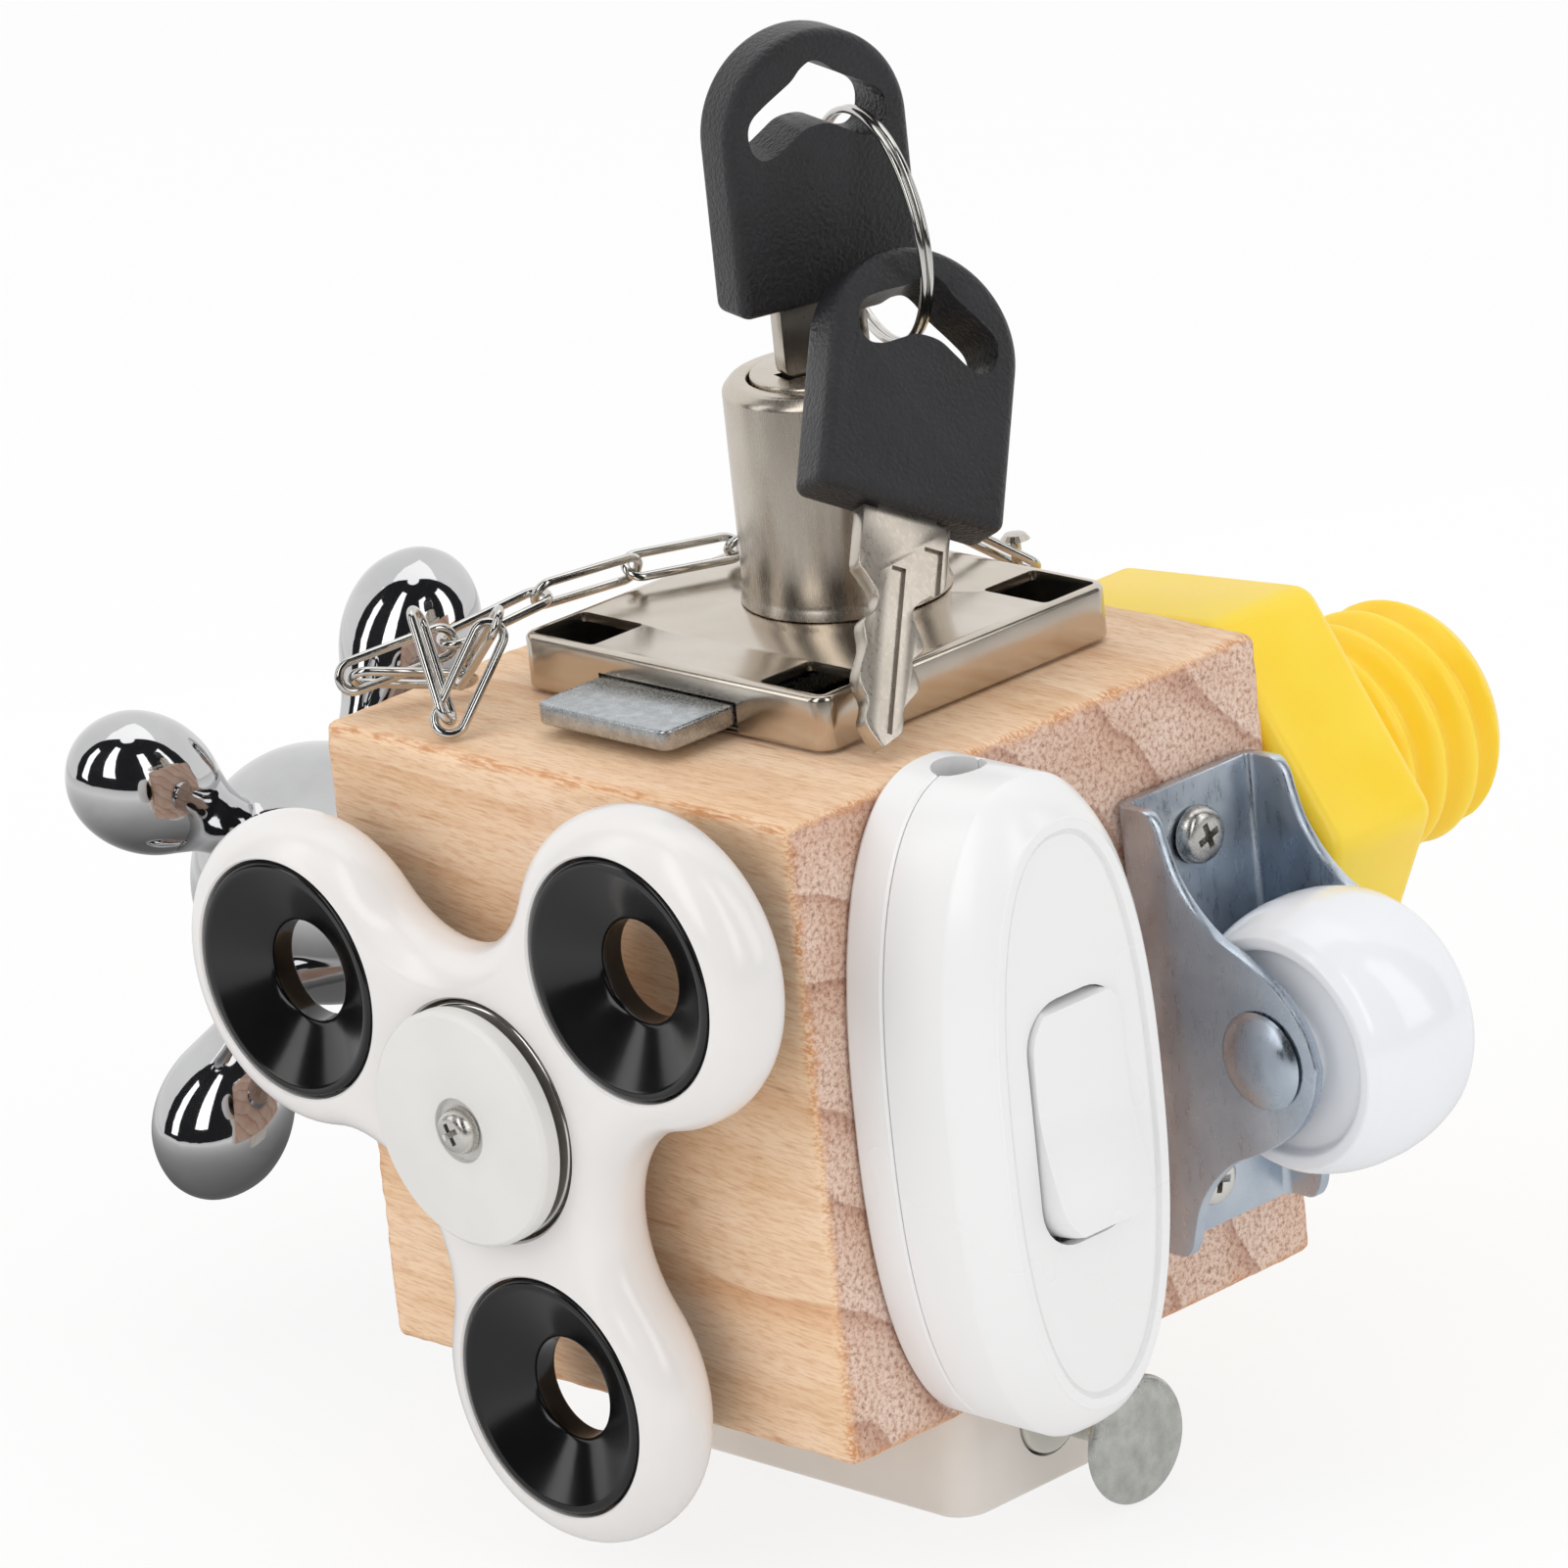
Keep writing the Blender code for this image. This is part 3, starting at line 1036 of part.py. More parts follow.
def make_key_ring(pivot_empty, centre):
    """Two full turns of wire that climb by one pitch each turn."""
    steps = 30
    points = []
    for k in range(RING_TURNS * steps - 1):
        angle = RING_START + 2 * pi * k / steps
        climb = RING_PITCH * (k / steps - RING_TURNS / 2)
        points.append((RING_RADIUS * cos(angle), RING_RADIUS * sin(angle), climb))
    ring = wire("key_ring", points, RING_WIRE, False, bright_steel())
    ring.parent = pivot_empty
    ring.location = centre
    ring.rotation_euler = ring_frame()
    return ring


def link_points():
    """The centre line of one oval link, lying along X with its width along Y."""
    bend = LINK_WIDTH / 2
    straight = (LINK_PITCH + LINK_LAP) / 2 - bend
    bows = arc((straight, 0), bend, -pi / 2, pi / 2, 4) + arc((-straight, 0), bend, pi / 2, 3 * pi / 2, 4)
    return [(x, y, 0.0) for x, y in bows]


def link_turn(heading, climb):
    return Euler((0, 0, radians(heading))).to_matrix() @ Euler((0, -radians(climb), 0)).to_matrix()


def make_chain_links(mount):
    """Each link starts inside the far bow of the link before it, and the first one round the nail."""
    start = chain_start()
    for k, (heading, climb, roll) in enumerate(zip(CHAIN_HEADINGS, CHAIN_CLIMBS, CHAIN_ROLLS)):
        turn = link_turn(heading, climb)
        link = wire("chain_link_%02d" % (k + 1), link_points(), LINK_WIRE, True, bright_steel())
        link.parent = mount
        link.location = start + turn @ Vector(((LINK_PITCH + LINK_LAP) / 2, 0, 0))
        link.rotation_euler = (turn @ Euler((radians(roll), 0, 0)).to_matrix()).to_euler()
        start = start + turn @ Vector((LINK_PITCH, 0, 0))


def chain_start():
    return Vector((CHAIN_START_RIGHT, CHAIN_START_BACK, CHAIN_START_RISE))


def chain_nail_place():
    """The nail stands in the middle of the near bow of the first link."""
    bow = link_turn(CHAIN_HEADINGS[0], CHAIN_CLIMBS[0]) @ Vector((LINK_WIDTH * 0.7, 0, 0))
    return chain_start() + bow


def make_chain(mount):
    make_chain_links(mount)
    nail = chain_nail_place()
    head = NAIL_STAND
    profile = [(0.0, head + NAIL_HEAD_HEIGHT), (NAIL_HEAD_RADIUS * 0.7, head + NAIL_HEAD_HEIGHT * 0.85),
               (NAIL_HEAD_RADIUS, head), (NAIL_RADIUS, head), (NAIL_RADIUS, NAIL_RADIUS - NAIL_BITE),
               (0.0, -NAIL_BITE)]
    finish("chain_nail", turned(profile, 16), bright_steel(), mount, (nail.x, nail.y, 0))


def make_keys(axis):
    """The key in the plug, the ring through its head and the spare key that leans from the ring."""
    tip = PLUG_TOP + KEY_HEAD_STANDOFF - KEY_BLADE_LENGTH
    make_key("1", pivot("key_slide", axis, (0, 0, tip), (0, 0, KEY_TURN)), KEY_HEAD_ASIDE)
    hook = ring_hook()
    centre = Vector((RING_RIGHT, RING_BACK, PLUG_TOP + RING_RISE))
    make_key_ring(pivot("ring_pivot", axis, hook), centre - hook)
    turn = spare_turn()
    hang = Vector((SPARE_HOOK_ACROSS, 0, SPARE_HOOK_UP))
    place = Vector((SPARE_RIGHT, SPARE_BACK, PLUG_TOP - SPARE_DROP)) + turn @ hang
    spare = pivot("spare_pivot", axis, place, turn.to_euler())
    make_key("2", pivot("spare_tip", spare, -hang), -KEY_HEAD_ASIDE)


def ring_hook():
    """Where the ring passes through the head of the key in the plug."""
    up = PLUG_TOP + KEY_HEAD_STANDOFF + RING_HOOK_UP
    return Vector((RING_HOOK_ACROSS * cos(KEY_TURN), RING_HOOK_ACROSS * sin(KEY_TURN), up))


def spare_turn():
    """The spare key leans back to the barrel: its X is the width of the head, its Z runs up the blade."""
    up = Vector(SPARE_UP_SHARES).normalized()
    side = Vector(SPARE_ACROSS_SHARES)
    side = (side - up * side.dot(up)).normalized()
    return Matrix((side, up.cross(side), up)).transposed()


def main():
    clear_scene()
    half = BLOCK_SIDE / 2
    mounts = {
        "front": face_mount("front", 0, -half, BLOCK_MIDDLE, (pi / 2, 0, 0)),
        "right": face_mount("right", half, 0, BLOCK_MIDDLE, (pi / 2, 0, pi / 2)),
        "back": face_mount("back", 0, half, BLOCK_MIDDLE, (pi / 2, 0, pi)),
        "left": face_mount("left", -half, 0, BLOCK_MIDDLE, (pi / 2, 0, -pi / 2)),
        "top": face_mount("top", 0, 0, BLOCK_TOP, (0, 0, 0)),
        "bottom": face_mount("bottom", 0, 0, BLOCK_BOTTOM, (pi, 0, 0)),
    }
    mounts["top_nail"] = mounts["top"]
    make_block(mounts)
    make_latch()
    make_latch_pin()
    for k, side in enumerate((1, -1)):
        level = LATCH_HEIGHT / 4
        place = (side * LATCH_SCREW_SPREAD, LATCH_SCREW_BACK, level - GAP)
        under = pivot("latch_screw_seat_%d" % (k + 1), None, place, (pi, 0, 0))
        screw("latch_screw_%d" % (k + 1), under, (0, 0, 0), BLOCK_BOTTOM - level + SCREW_BITE - GAP)
    make_spinner_cap(make_spinner(mounts["front"]))
    make_tap(mounts["left"])
    make_switch(mounts["right"])
    make_castor(mounts["right"])
    make_toy_bolt(mounts["back"])
    make_keys(make_lock(mounts["top"]))
    make_chain(mounts["top"])


main()
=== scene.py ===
# %% [markdown]
# # A wooden busy cube
# The object is a 60 mm pine cube with a different thing to play with on every face: a spinner, a tap handle,
# a cord switch, a castor, a toy bolt, a drawer lock with its keys and a chain, and a push latch below.
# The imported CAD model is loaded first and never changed. Every piece made here is set where its node is.

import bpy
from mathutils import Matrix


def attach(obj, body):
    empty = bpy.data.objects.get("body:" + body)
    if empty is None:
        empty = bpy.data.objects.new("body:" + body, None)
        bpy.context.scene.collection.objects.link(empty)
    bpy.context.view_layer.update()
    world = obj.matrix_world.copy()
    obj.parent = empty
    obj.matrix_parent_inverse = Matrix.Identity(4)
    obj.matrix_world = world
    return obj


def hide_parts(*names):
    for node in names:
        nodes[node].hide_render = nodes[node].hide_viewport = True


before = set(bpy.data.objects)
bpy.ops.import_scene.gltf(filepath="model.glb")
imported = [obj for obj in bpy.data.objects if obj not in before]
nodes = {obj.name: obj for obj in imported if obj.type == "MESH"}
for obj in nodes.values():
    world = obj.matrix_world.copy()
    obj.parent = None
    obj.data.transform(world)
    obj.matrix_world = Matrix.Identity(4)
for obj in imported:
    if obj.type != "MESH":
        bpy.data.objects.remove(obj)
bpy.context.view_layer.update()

# %% The tools of this lesson
from math import atan2, cos, hypot, pi, radians, sin, sqrt

import bmesh
import bpy
from mathutils import Euler, Matrix, Vector, noise

scene = bpy.context.scene
MM = 0.001
print(len(nodes), "packed nodes")

# %% [markdown]
# ## The camera
# The photograph looks down on the corner between the spinner and the switch. The angle and the distance
# were solved from the cube's edges, so the camera is given by its three directions and its place.
# The lens is long, which keeps the cube's edges nearly parallel.

# %% Camera
PHOTO_WIDTH = 1601
FOCAL_PIXELS = 10989.04
CAMERA_PLACE = (0.67487, -0.62805, 0.37378)
camera_data = bpy.data.cameras.new("photo_camera")
camera_data.sensor_width = 36.0
camera_data.lens = camera_data.sensor_width * FOCAL_PIXELS / PHOTO_WIDTH
camera_data.clip_start = 0.05
camera_data.clip_end = 20.0
camera = bpy.data.objects.new("photo_camera", camera_data)
scene.collection.objects.link(camera)
camera_right = Vector((0.7012, 0.7057, -0.1012)).normalized()
camera_back = Vector((0.6947, -0.6446, 0.3193)).normalized()
camera_up = camera_back.cross(camera_right).normalized()
camera_turn = Matrix((camera_right, camera_up, camera_back)).transposed()
camera.matrix_world = Matrix.Translation(CAMERA_PLACE) @ camera_turn.to_4x4()
scene.camera = camera
print("camera at", CAMERA_PLACE, "lens", round(camera_data.lens, 1), "mm")

# %% [markdown]
# ## Colours and nodes
# Colours are picked as sRGB hex values, as a paint program shows them. Blender's shaders work in linear
# light, so one function turns the one into the other. Another adds any node with its settings and links.

# %% Small functions for materials
def linear(hex_colour):
    """An sRGB hex colour as the linear RGBA that a shader takes."""
    values = [int(hex_colour[k:k + 2], 16) / 255 for k in (1, 3, 5)]
    return tuple(v / 12.92 if v <= 0.04045 else ((v + 0.055) / 1.055) ** 2.4 for v in values) + (1.0,)


def add(tree, kind, inputs=(), out=0, stops=(), **settings):
    """A shader node of a kind, given back as one of its outputs. Inputs maps a socket's name or number to a
    value or to the output that feeds it. Stops are the places and hex colours of a colour ramp."""
    made = tree.nodes.new("ShaderNode" + kind)
    for name, value in settings.items():
        setattr(made, name, value)
    for name, value in dict(inputs).items():
        if isinstance(value, bpy.types.NodeSocket):
            tree.links.new(value, made.inputs[name])
        else:
            made.inputs[name].default_value = value
    for k, (place, colour) in enumerate(stops):
        elements = made.color_ramp.elements
        element = elements[k] if k < 2 else elements.new(place)
        element.position = place
        element.color = linear(colour)
    return made.outputs[out]


def finish_of(name, **inputs):
    """A new material, its node tree and the sockets of its main shader."""
    made = bpy.data.materials.new(name)
    made.use_nodes = True
    sockets = made.node_tree.nodes["Principled BSDF"].inputs
    for socket, value in inputs.items():
        sockets[socket.replace("_", " ")].default_value = value
    return made, made.node_tree, sockets


def feed(tree, sockets, colour, relief, **others):
    """Link the colour, the relief and any other outputs to the main shader."""
    for socket, output in {"Base Color": colour, "Normal": relief, **others}.items():
        tree.links.new(output, sockets[socket])


def per_mm(size):
    """The scale of a pattern whose details are this many millimetres across."""
    return 1.0 / (size * MM)


# A Mix node for colours takes its factor and its two colours at these sockets, and gives the mix at this one.
SHARE, UNDER, OVER, MIXED = 0, 6, 7, 2
DARKEN = {"data_type": "RGBA", "blend_type": "MULTIPLY"}
COVER = {"data_type": "RGBA", "blend_type": "MIX"}
print("white is", linear("#FFFFFF"))

# %% [markdown]
# ## Pine
# The cube is sanded, unvarnished pine. Its fibres run from left to right, so the front, top, back and
# underside show long grain and the two ends show the growth rings as slanting dark bands with open pores.
# The rings are cylinders round a pith that lies outside the cube, which gives every face the grain that
# it would have. Pine's late wood is a narrow, darker, orange line at the end of each ring. Real fibres and
# saw marks are a few hundredths of a millimetre wide. Here they are some tenths, so that they show.

# %% Long grain
def stretched(tree, place, size, share, detail=3.0, rough=0.55, out="Fac"):
    """Noise of a size in millimetres, drawn out along the fibres: its share of that scale is kept along X."""
    along = add(tree, "Mapping", {"Vector": place, "Scale": (share, 1.0, 1.0)})
    inputs = {"Vector": along, "Scale": per_mm(size), "Detail": detail, "Roughness": rough}
    return add(tree, "TexNoise", inputs, out)


def growth_rings(tree, place):
    """How far a point lies through its growth ring, from zero to one."""
    drift = stretched(tree, place, 18, 0.3, 2.0, out="Color")
    swing = add(tree, "VectorMath", {0: drift, 1: (0.5, 0.5, 0.5)}, operation="SUBTRACT")
    push = add(tree, "VectorMath", {0: swing, "Scale": 11.0 * MM}, operation="SCALE")
    bent = add(tree, "VectorMath", {0: place, 1: push})
    pith = add(tree, "Mapping", {"Vector": bent, "Location": (0.0, 0.088, 0.040)})
    flat = add(tree, "VectorMath", {0: pith, 1: (0.0, 1.0, 1.0)}, operation="MULTIPLY")
    radius = add(tree, "VectorMath", {0: flat}, "Value", operation="LENGTH")
    count = add(tree, "Math", {0: radius, 1: per_mm(8.3)}, operation="MULTIPLY")
    return add(tree, "Math", {0: count}, operation="FRACT")


def long_grain(tree, place, ring, fibre):
    """The faces along the fibres: pale, with faint rings that come and go, fine fibres and dark dashes."""
    cloud = stretched(tree, place, 15, 0.45)
    tone = add(tree, "ValToRGB", {0: cloud}, stops=((0.30, "#EACAA6"), (0.50, "#F1D4B5"), (0.70, "#F4DAC0")))
    patches = stretched(tree, place, 9, 0.3, 2.0)
    fade = add(tree, "ValToRGB", {0: patches}, stops=((0.36, "#000000"), (0.64, "#C4C4C4")))
    lines = add(tree, "ValToRGB", {0: ring}, stops=((0.0, "#FFFFFF"), (0.50, "#FFFBF6"), (0.82, "#F6E6D4"),
                                                    (0.94, "#E5C6A6"), (0.975, "#DDB995"), (1.0, "#FFFFFF")))
    threads = add(tree, "ValToRGB", {0: fibre}, stops=((0.28, "#C59B76"), (0.42, "#EBD3BB"),
                                                       (0.54, "#FFFDFA"), (0.75, "#FFF6EA")))
    streaks = stretched(tree, place, 1.5, 0.05)
    broad = add(tree, "ValToRGB", {0: streaks}, stops=((0.35, "#E9D2BC"), (0.55, "#FFFFFF")))
    for share, pattern in ((fade, lines), (0.52, threads), (0.38, broad)):
        tone = add(tree, "Mix", {SHARE: share, UNDER: tone, OVER: pattern}, MIXED, **DARKEN)
    canals = stretched(tree, place, 1.15, 0.07, 1.0)
    dash = add(tree, "ValToRGB", {0: canals}, stops=((0.725, "#000000"), (0.77, "#B0B0B0")))
    return add(tree, "Mix", {SHARE: dash, UNDER: tone, OVER: linear("#A8714B")}, MIXED, **COVER)


def knot(tree, place, tone, middle=(12.7 * MM, -30.0 * MM, 35.4 * MM), size=1.5):
    """A small brown knot in the front face, longer along the fibres."""
    close = add(tree, "VectorMath", {0: place, 1: middle}, operation="SUBTRACT")
    drawn = add(tree, "VectorMath", {0: close, 1: (0.55, 1.0, 1.0)}, operation="MULTIPLY")
    away = add(tree, "VectorMath", {0: drawn}, "Value", operation="LENGTH")
    reach = add(tree, "Math", {0: away, 1: per_mm(size)}, operation="MULTIPLY")
    spot = add(tree, "ValToRGB", {0: reach}, stops=((0.10, "#A0A0A0"), (0.35, "#606060"), (1.0, "#000000")))
    return add(tree, "Mix", {SHARE: spot, UNDER: tone, OVER: linear("#9A5A38")}, MIXED, **COVER)


# %% End grain, worn edges and the whole finish
def end_grain(tree, place, ring):
    """The sawn ends: pinkish, with dark late wood, open pores and the furry marks of the saw."""
    cloud = add(tree, "TexNoise", {"Vector": place, "Scale": per_mm(9), "Detail": 4.0})
    tone = add(tree, "ValToRGB", {0: cloud}, stops=((0.32, "#DDC0AD"), (0.50, "#E6CDBD"), (0.68, "#EDD9CC")))
    lines = add(tree, "ValToRGB", {0: ring}, stops=((0.0, "#FFFFFF"), (0.55, "#FAF3EE"), (0.80, "#EEDFD6"),
                                                    (0.93, "#C7A392"), (0.97, "#BE9785"), (1.0, "#FFFFFF")))
    fur = add(tree, "TexNoise", {"Vector": place, "Scale": per_mm(0.5), "Detail": 4.0, "Roughness": 0.75})
    marks = add(tree, "ValToRGB", {0: fur}, stops=((0.34, "#A67E6B"), (0.46, "#E6D3C7"), (0.56, "#FFFFFF"),
                                                   (0.72, "#FFF8F2")))
    for share, pattern in ((0.62, lines), (0.85, marks)):
        tone = add(tree, "Mix", {SHARE: share, UNDER: tone, OVER: pattern}, MIXED, **DARKEN)
    pore = add(tree, "TexVoronoi", {"Vector": place, "Scale": per_mm(1.7)})
    dots = add(tree, "ValToRGB", {0: pore}, stops=((0.10, "#B0B0B0"), (0.17, "#000000")))
    return add(tree, "Mix", {SHARE: dots, UNDER: tone, OVER: linear("#6E4A3B")}, MIXED, **COVER), fur


def worn_edge(tree, place, grain):
    """The rubbed edges: where a point is near two faces of the cube at once, in strokes along the fibres.
    Of its three distances from the cube's middle, the second largest says how near it is."""
    centred = add(tree, "Mapping", {"Vector": place, "Location": (0, 0, -0.0433)})
    away = add(tree, "VectorMath", {0: centred}, operation="ABSOLUTE")
    along, back, up = add(tree, "SeparateXYZ", {0: away}).node.outputs
    less = add(tree, "Math", {0: along, 1: back}, operation="MINIMUM")
    more = add(tree, "Math", {0: along, 1: back}, operation="MAXIMUM")
    more = add(tree, "Math", {0: more, 1: up}, operation="MINIMUM")
    second = add(tree, "Math", {0: less, 1: more}, operation="MAXIMUM")
    wander = add(tree, "TexNoise", {"Vector": place, "Scale": per_mm(2.4), "Detail": 3.0})
    rough = add(tree, "Math", {0: wander, 1: 2.6 * MM}, operation="MULTIPLY")
    level = add(tree, "Math", {0: second, 1: rough}, operation="ADD")
    band = add(tree, "MapRange", {"Value": level, "From Min": 30.2 * MM, "From Max": 31.2 * MM})
    strokes = add(tree, "MapRange", {"Value": grain, "From Min": 0.58, "From Max": 0.44, "To Min": 0.10,
                                     "To Max": 1.0})
    return add(tree, "Math", {0: band, 1: strokes}, operation="MULTIPLY")


def sanded_pine():
    """Dry sanded wood: no highlights, and a grain that the light rakes over."""
    made, tree, sockets = finish_of("sanded_pine", Roughness=0.66, IOR=1.45)
    place = add(tree, "TexCoord", out="Object")
    lean = add(tree, "Mapping", {"Vector": place, "Rotation": (0.0, radians(-4.0), 0.0)})
    fibre = stretched(tree, lean, 0.27, 0.11, 5.0, 0.65)
    ring = growth_rings(tree, lean)
    sides = knot(tree, place, long_grain(tree, lean, ring, fibre))
    ends, fur = end_grain(tree, place, ring)
    along = add(tree, "SeparateXYZ", {0: place})
    from_middle = add(tree, "Math", {0: along}, operation="ABSOLUTE")
    is_end = add(tree, "MapRange", {"Value": from_middle, "From Min": 29.55 * MM, "From Max": 29.83 * MM})
    both = add(tree, "Mix", {SHARE: is_end, UNDER: sides, OVER: ends}, MIXED, **COVER)
    rubbed = {SHARE: worn_edge(tree, place, fibre), UNDER: both, OVER: linear("#CC8C58")}
    colour = add(tree, "Mix", rubbed, MIXED, **COVER)
    height = add(tree, "Math", {0: fibre, 1: fur}, operation="ADD")
    feed(tree, sockets, colour, add(tree, "Bump", {"Height": height, "Distance": 0.06 * MM, "Strength": 0.6}))
    return made


pine = sanded_pine()
print("material", pine.name, len(pine.node_tree.nodes), "nodes")

# %% [markdown]
# ## Moulded plastics
# The spinner, the switch and the castor wheel are white moulded plastics with different gloss. A moulded
# face is never quite even: a very faint cloud in the colour and a fine ripple in the surface keep the
# highlights from looking drawn. The keys' heads have the fine grain of an etched mould, drawn coarser
# than it is so that it shows.

# %% Plastics
def moulded(name, dark, pale, gloss, ripple=0.9, depth=0.006, cloud=9.0, **extra):
    """A moulded plastic: two close tones, a roughness that wanders a little, and a fine ripple."""
    made, tree, sockets = finish_of(name, Roughness=gloss, IOR=1.5, **extra)
    place = add(tree, "TexCoord", out="Object")
    tone = add(tree, "TexNoise", {"Vector": place, "Scale": per_mm(cloud), "Detail": 3.0})
    colour = add(tree, "ValToRGB", {0: tone}, stops=((0.35, dark), (0.65, pale)))
    shine = add(tree, "MapRange", {"Value": tone, "From Min": 0.3, "From Max": 0.7,
                                   "To Min": gloss * 0.85, "To Max": gloss * 1.2})
    grain = add(tree, "TexNoise", {"Vector": place, "Scale": per_mm(ripple), "Detail": 4.0})
    relief = add(tree, "Bump", {"Height": grain, "Distance": depth * MM, "Strength": 0.6})
    feed(tree, sockets, colour, relief, Roughness=shine)
    return made


# A polished mould gives the spinner clean, bright highlights along its swollen edges.
spinner_white = moulded("polished_white_abs", "#E4E1DF", "#E7E4E2", 0.20)
# The cap's matt mould leaves it a flat pale disc, greyer than the spinner round it.
cap_white = moulded("matt_white_nylon", "#DCDAD6", "#E0DEDA", 0.42, 0.5, 0.012)
# The switch is so even that only its slopes and its seam show.
switch_white = moulded("white_switch_plastic", "#ECECEC", "#EDECEC", 0.27, 0.7, 0.001, 40.0)
# Glossy nylon looks cool and wet, with a window of light on the wheel's shoulder.
wheel_white = moulded("glossy_white_nylon", "#EBEDF1", "#ECEEF2", 0.13)
# A plain warm grey box without shine.
latch_grey = moulded("warm_grey_polystyrene", "#E6E0D9", "#EBE6E0", 0.38)
# The mould's grain breaks the highlights into a dull, dark grey sheen.
key_black = moulded("grained_black_plastic", "#19191C", "#202024", 0.38, 0.40, 0.45)
# Enamel is the deepest black here, with sharp bright streaks in its dish.
weight_black = moulded("black_gloss_enamel", "#0B0A0B", "#121112", 0.15, 1.5, 0.006)
# Light goes a little way into the thick yellow plastic, so its shadows glow orange.
bolt_yellow = moulded("yellow_polypropylene", "#FFD833", "#FFDD3E", 0.34, 0.8, 0.012, Subsurface_Weight=0.25,
                      Subsurface_Radius=(1.0, 0.35, 0.06), Subsurface_Scale=4.0 * MM)
# Unpigmented plastic reads as a milky grey ring round the pin.
bush_clear = moulded("milky_polythene", "#CFCFC6", "#DADAD2", 0.30)
print("plastics", [m.name for m in (spinner_white, switch_white, wheel_white, latch_grey, key_black)])

# %% [markdown]
# ## Metals
# Chrome plate mirrors the room. Nickel plate is warmer and a little brushed. Zinc plate is bluish and
# cloudy, and the thick sheet of the lock's bolt sparkles with tiny pits. A metal has its colour as the
# tint of its mirror, and its roughness says how wide the blur is. The brushed lines and the pits are drawn
# several times coarser than they are, so that they show.

# %% Metals
def plated(name, dark, pale, gloss, grain=(1.0, 1.0, 1.0), size=1.0, depth=0.004, spread=0.35, cloud=6.0):
    """A plated metal: a wandering tint, brushed along the axis whose share of the grain is smallest."""
    made, tree, sockets = finish_of(name, Metallic=1.0, Roughness=gloss)
    place = add(tree, "TexCoord", out="Object")
    tone = add(tree, "TexNoise", {"Vector": place, "Scale": per_mm(cloud), "Detail": 4.0})
    colour = add(tree, "ValToRGB", {0: tone}, stops=((0.34, dark), (0.66, pale)))
    brushed = add(tree, "Mapping", {"Vector": place, "Scale": grain})
    lines = add(tree, "TexNoise", {"Vector": brushed, "Scale": per_mm(size), "Detail": 5.0,
                                   "Roughness": 0.65})
    shine = add(tree, "MapRange", {"Value": lines, "From Min": 0.3, "From Max": 0.7,
                                   "To Min": gloss * (1 - spread), "To Max": gloss * (1 + spread)})
    relief = add(tree, "Bump", {"Height": lines, "Distance": depth * MM, "Strength": 0.5})
    feed(tree, sockets, colour, relief, Roughness=shine)
    return made


# A mirror: black bands and white boxes of light, sharp to their edges.
chrome = plated("bright_chrome_plate", "#BFBFC0", "#C8C8C9", 0.05, size=4.0, depth=0.002)
# A warm silvery blur with soft upright lines on the turned barrel.
nickel = plated("satin_nickel_plate", "#C6BCAF", "#CDC4B8", 0.27, (1.0, 1.0, 0.08), 0.5, 0.002, 0.12)
# The pan is brighter than the barrel and mirrors it in broad smears.
pan_nickel = plated("bright_nickel_plate", "#C8BEB1", "#CFC6BA", 0.20, (0.5, 1.0, 1.0), 2.5, 0.003, 0.12)
# A cold blue-grey sheen that is a little cloudy.
zinc_blue = plated("blue_zinc_plate", "#B4BFCC", "#CCD5DF", 0.31, (1.0, 1.0, 0.3), 0.9, 0.010, cloud=8.0)
# The pits of hot-dipped sheet sparkle like frost.
zinc_pitted = plated("galvanised_sheet", "#A9ADB0", "#BFC3C6", 0.30, size=0.32, depth=0.05, spread=0.6,
                     cloud=1.2)
# The nail: a plain bright metal.
steel = plated("nickel_plated_steel", "#BDB6AC", "#CCC6BD", 0.20, size=0.6, depth=0.006)
# Milled faces are dull and warm, with fine lines along the blade.
blade_steel = plated("milled_nickel_silver", "#BDB4A8", "#C9C1B6", 0.30, (1.0, 1.0, 0.15), 0.30, 0.004, 0.15)
# Drawn wire has one thin bright line along each bend.
wire_steel = plated("drawn_bright_wire", "#C4C2BE", "#D8D6D2", 0.13, size=0.8, depth=0.004)
# Turned heads: pale, with a dark cross.
screw_steel = plated("machined_screw_steel", "#CFCCC7", "#DEDBD6", 0.28, size=0.25, depth=0.010)
# Pins tumble in the plating drum, which leaves their heads dented and grey.
pin_zinc = plated("tumbled_zinc_plate", "#B9BAB4", "#CDCEC8", 0.34, size=0.55, depth=0.10, spread=0.5,
                  cloud=1.5)
print("metals", [m.name for m in (chrome, nickel, pan_nickel, zinc_blue, zinc_pitted, steel, wire_steel)])

# %% [markdown]
# ## Frames for the six faces
# Each thing is drawn in millimetres, lying on a face: X to the right of the face, Y up it, and Z out of
# the cube. One matrix per face stands it in its place.

# %% Frames
BLOCK_SIDE = 60.0
BLOCK_MIDDLE = 43.3
HALF = BLOCK_SIDE / 2


def face(right, back, up, turn=(0.0, 0.0, 0.0)):
    return Matrix.Translation((right, back, up)) @ Euler(turn).to_matrix().to_4x4()


FACES = {
    "front": face(0, -HALF, BLOCK_MIDDLE, (pi / 2, 0, 0)),
    "right": face(HALF, 0, BLOCK_MIDDLE, (pi / 2, 0, pi / 2)),
    "back": face(0, HALF, BLOCK_MIDDLE, (pi / 2, 0, pi)),
    "left": face(-HALF, 0, BLOCK_MIDDLE, (pi / 2, 0, -pi / 2)),
    "top": face(0, 0, BLOCK_MIDDLE + HALF),
    "below": face(0, 0, 0),
}


def on(side, x=0.0, y=0.0, z=0.0, turn=(0.0, 0.0, 0.0)):
    """The frame of a piece on a face, moved and turned from the face's middle."""
    return FACES[side] @ face(x, y, z, turn)


print("faces", sorted(FACES))

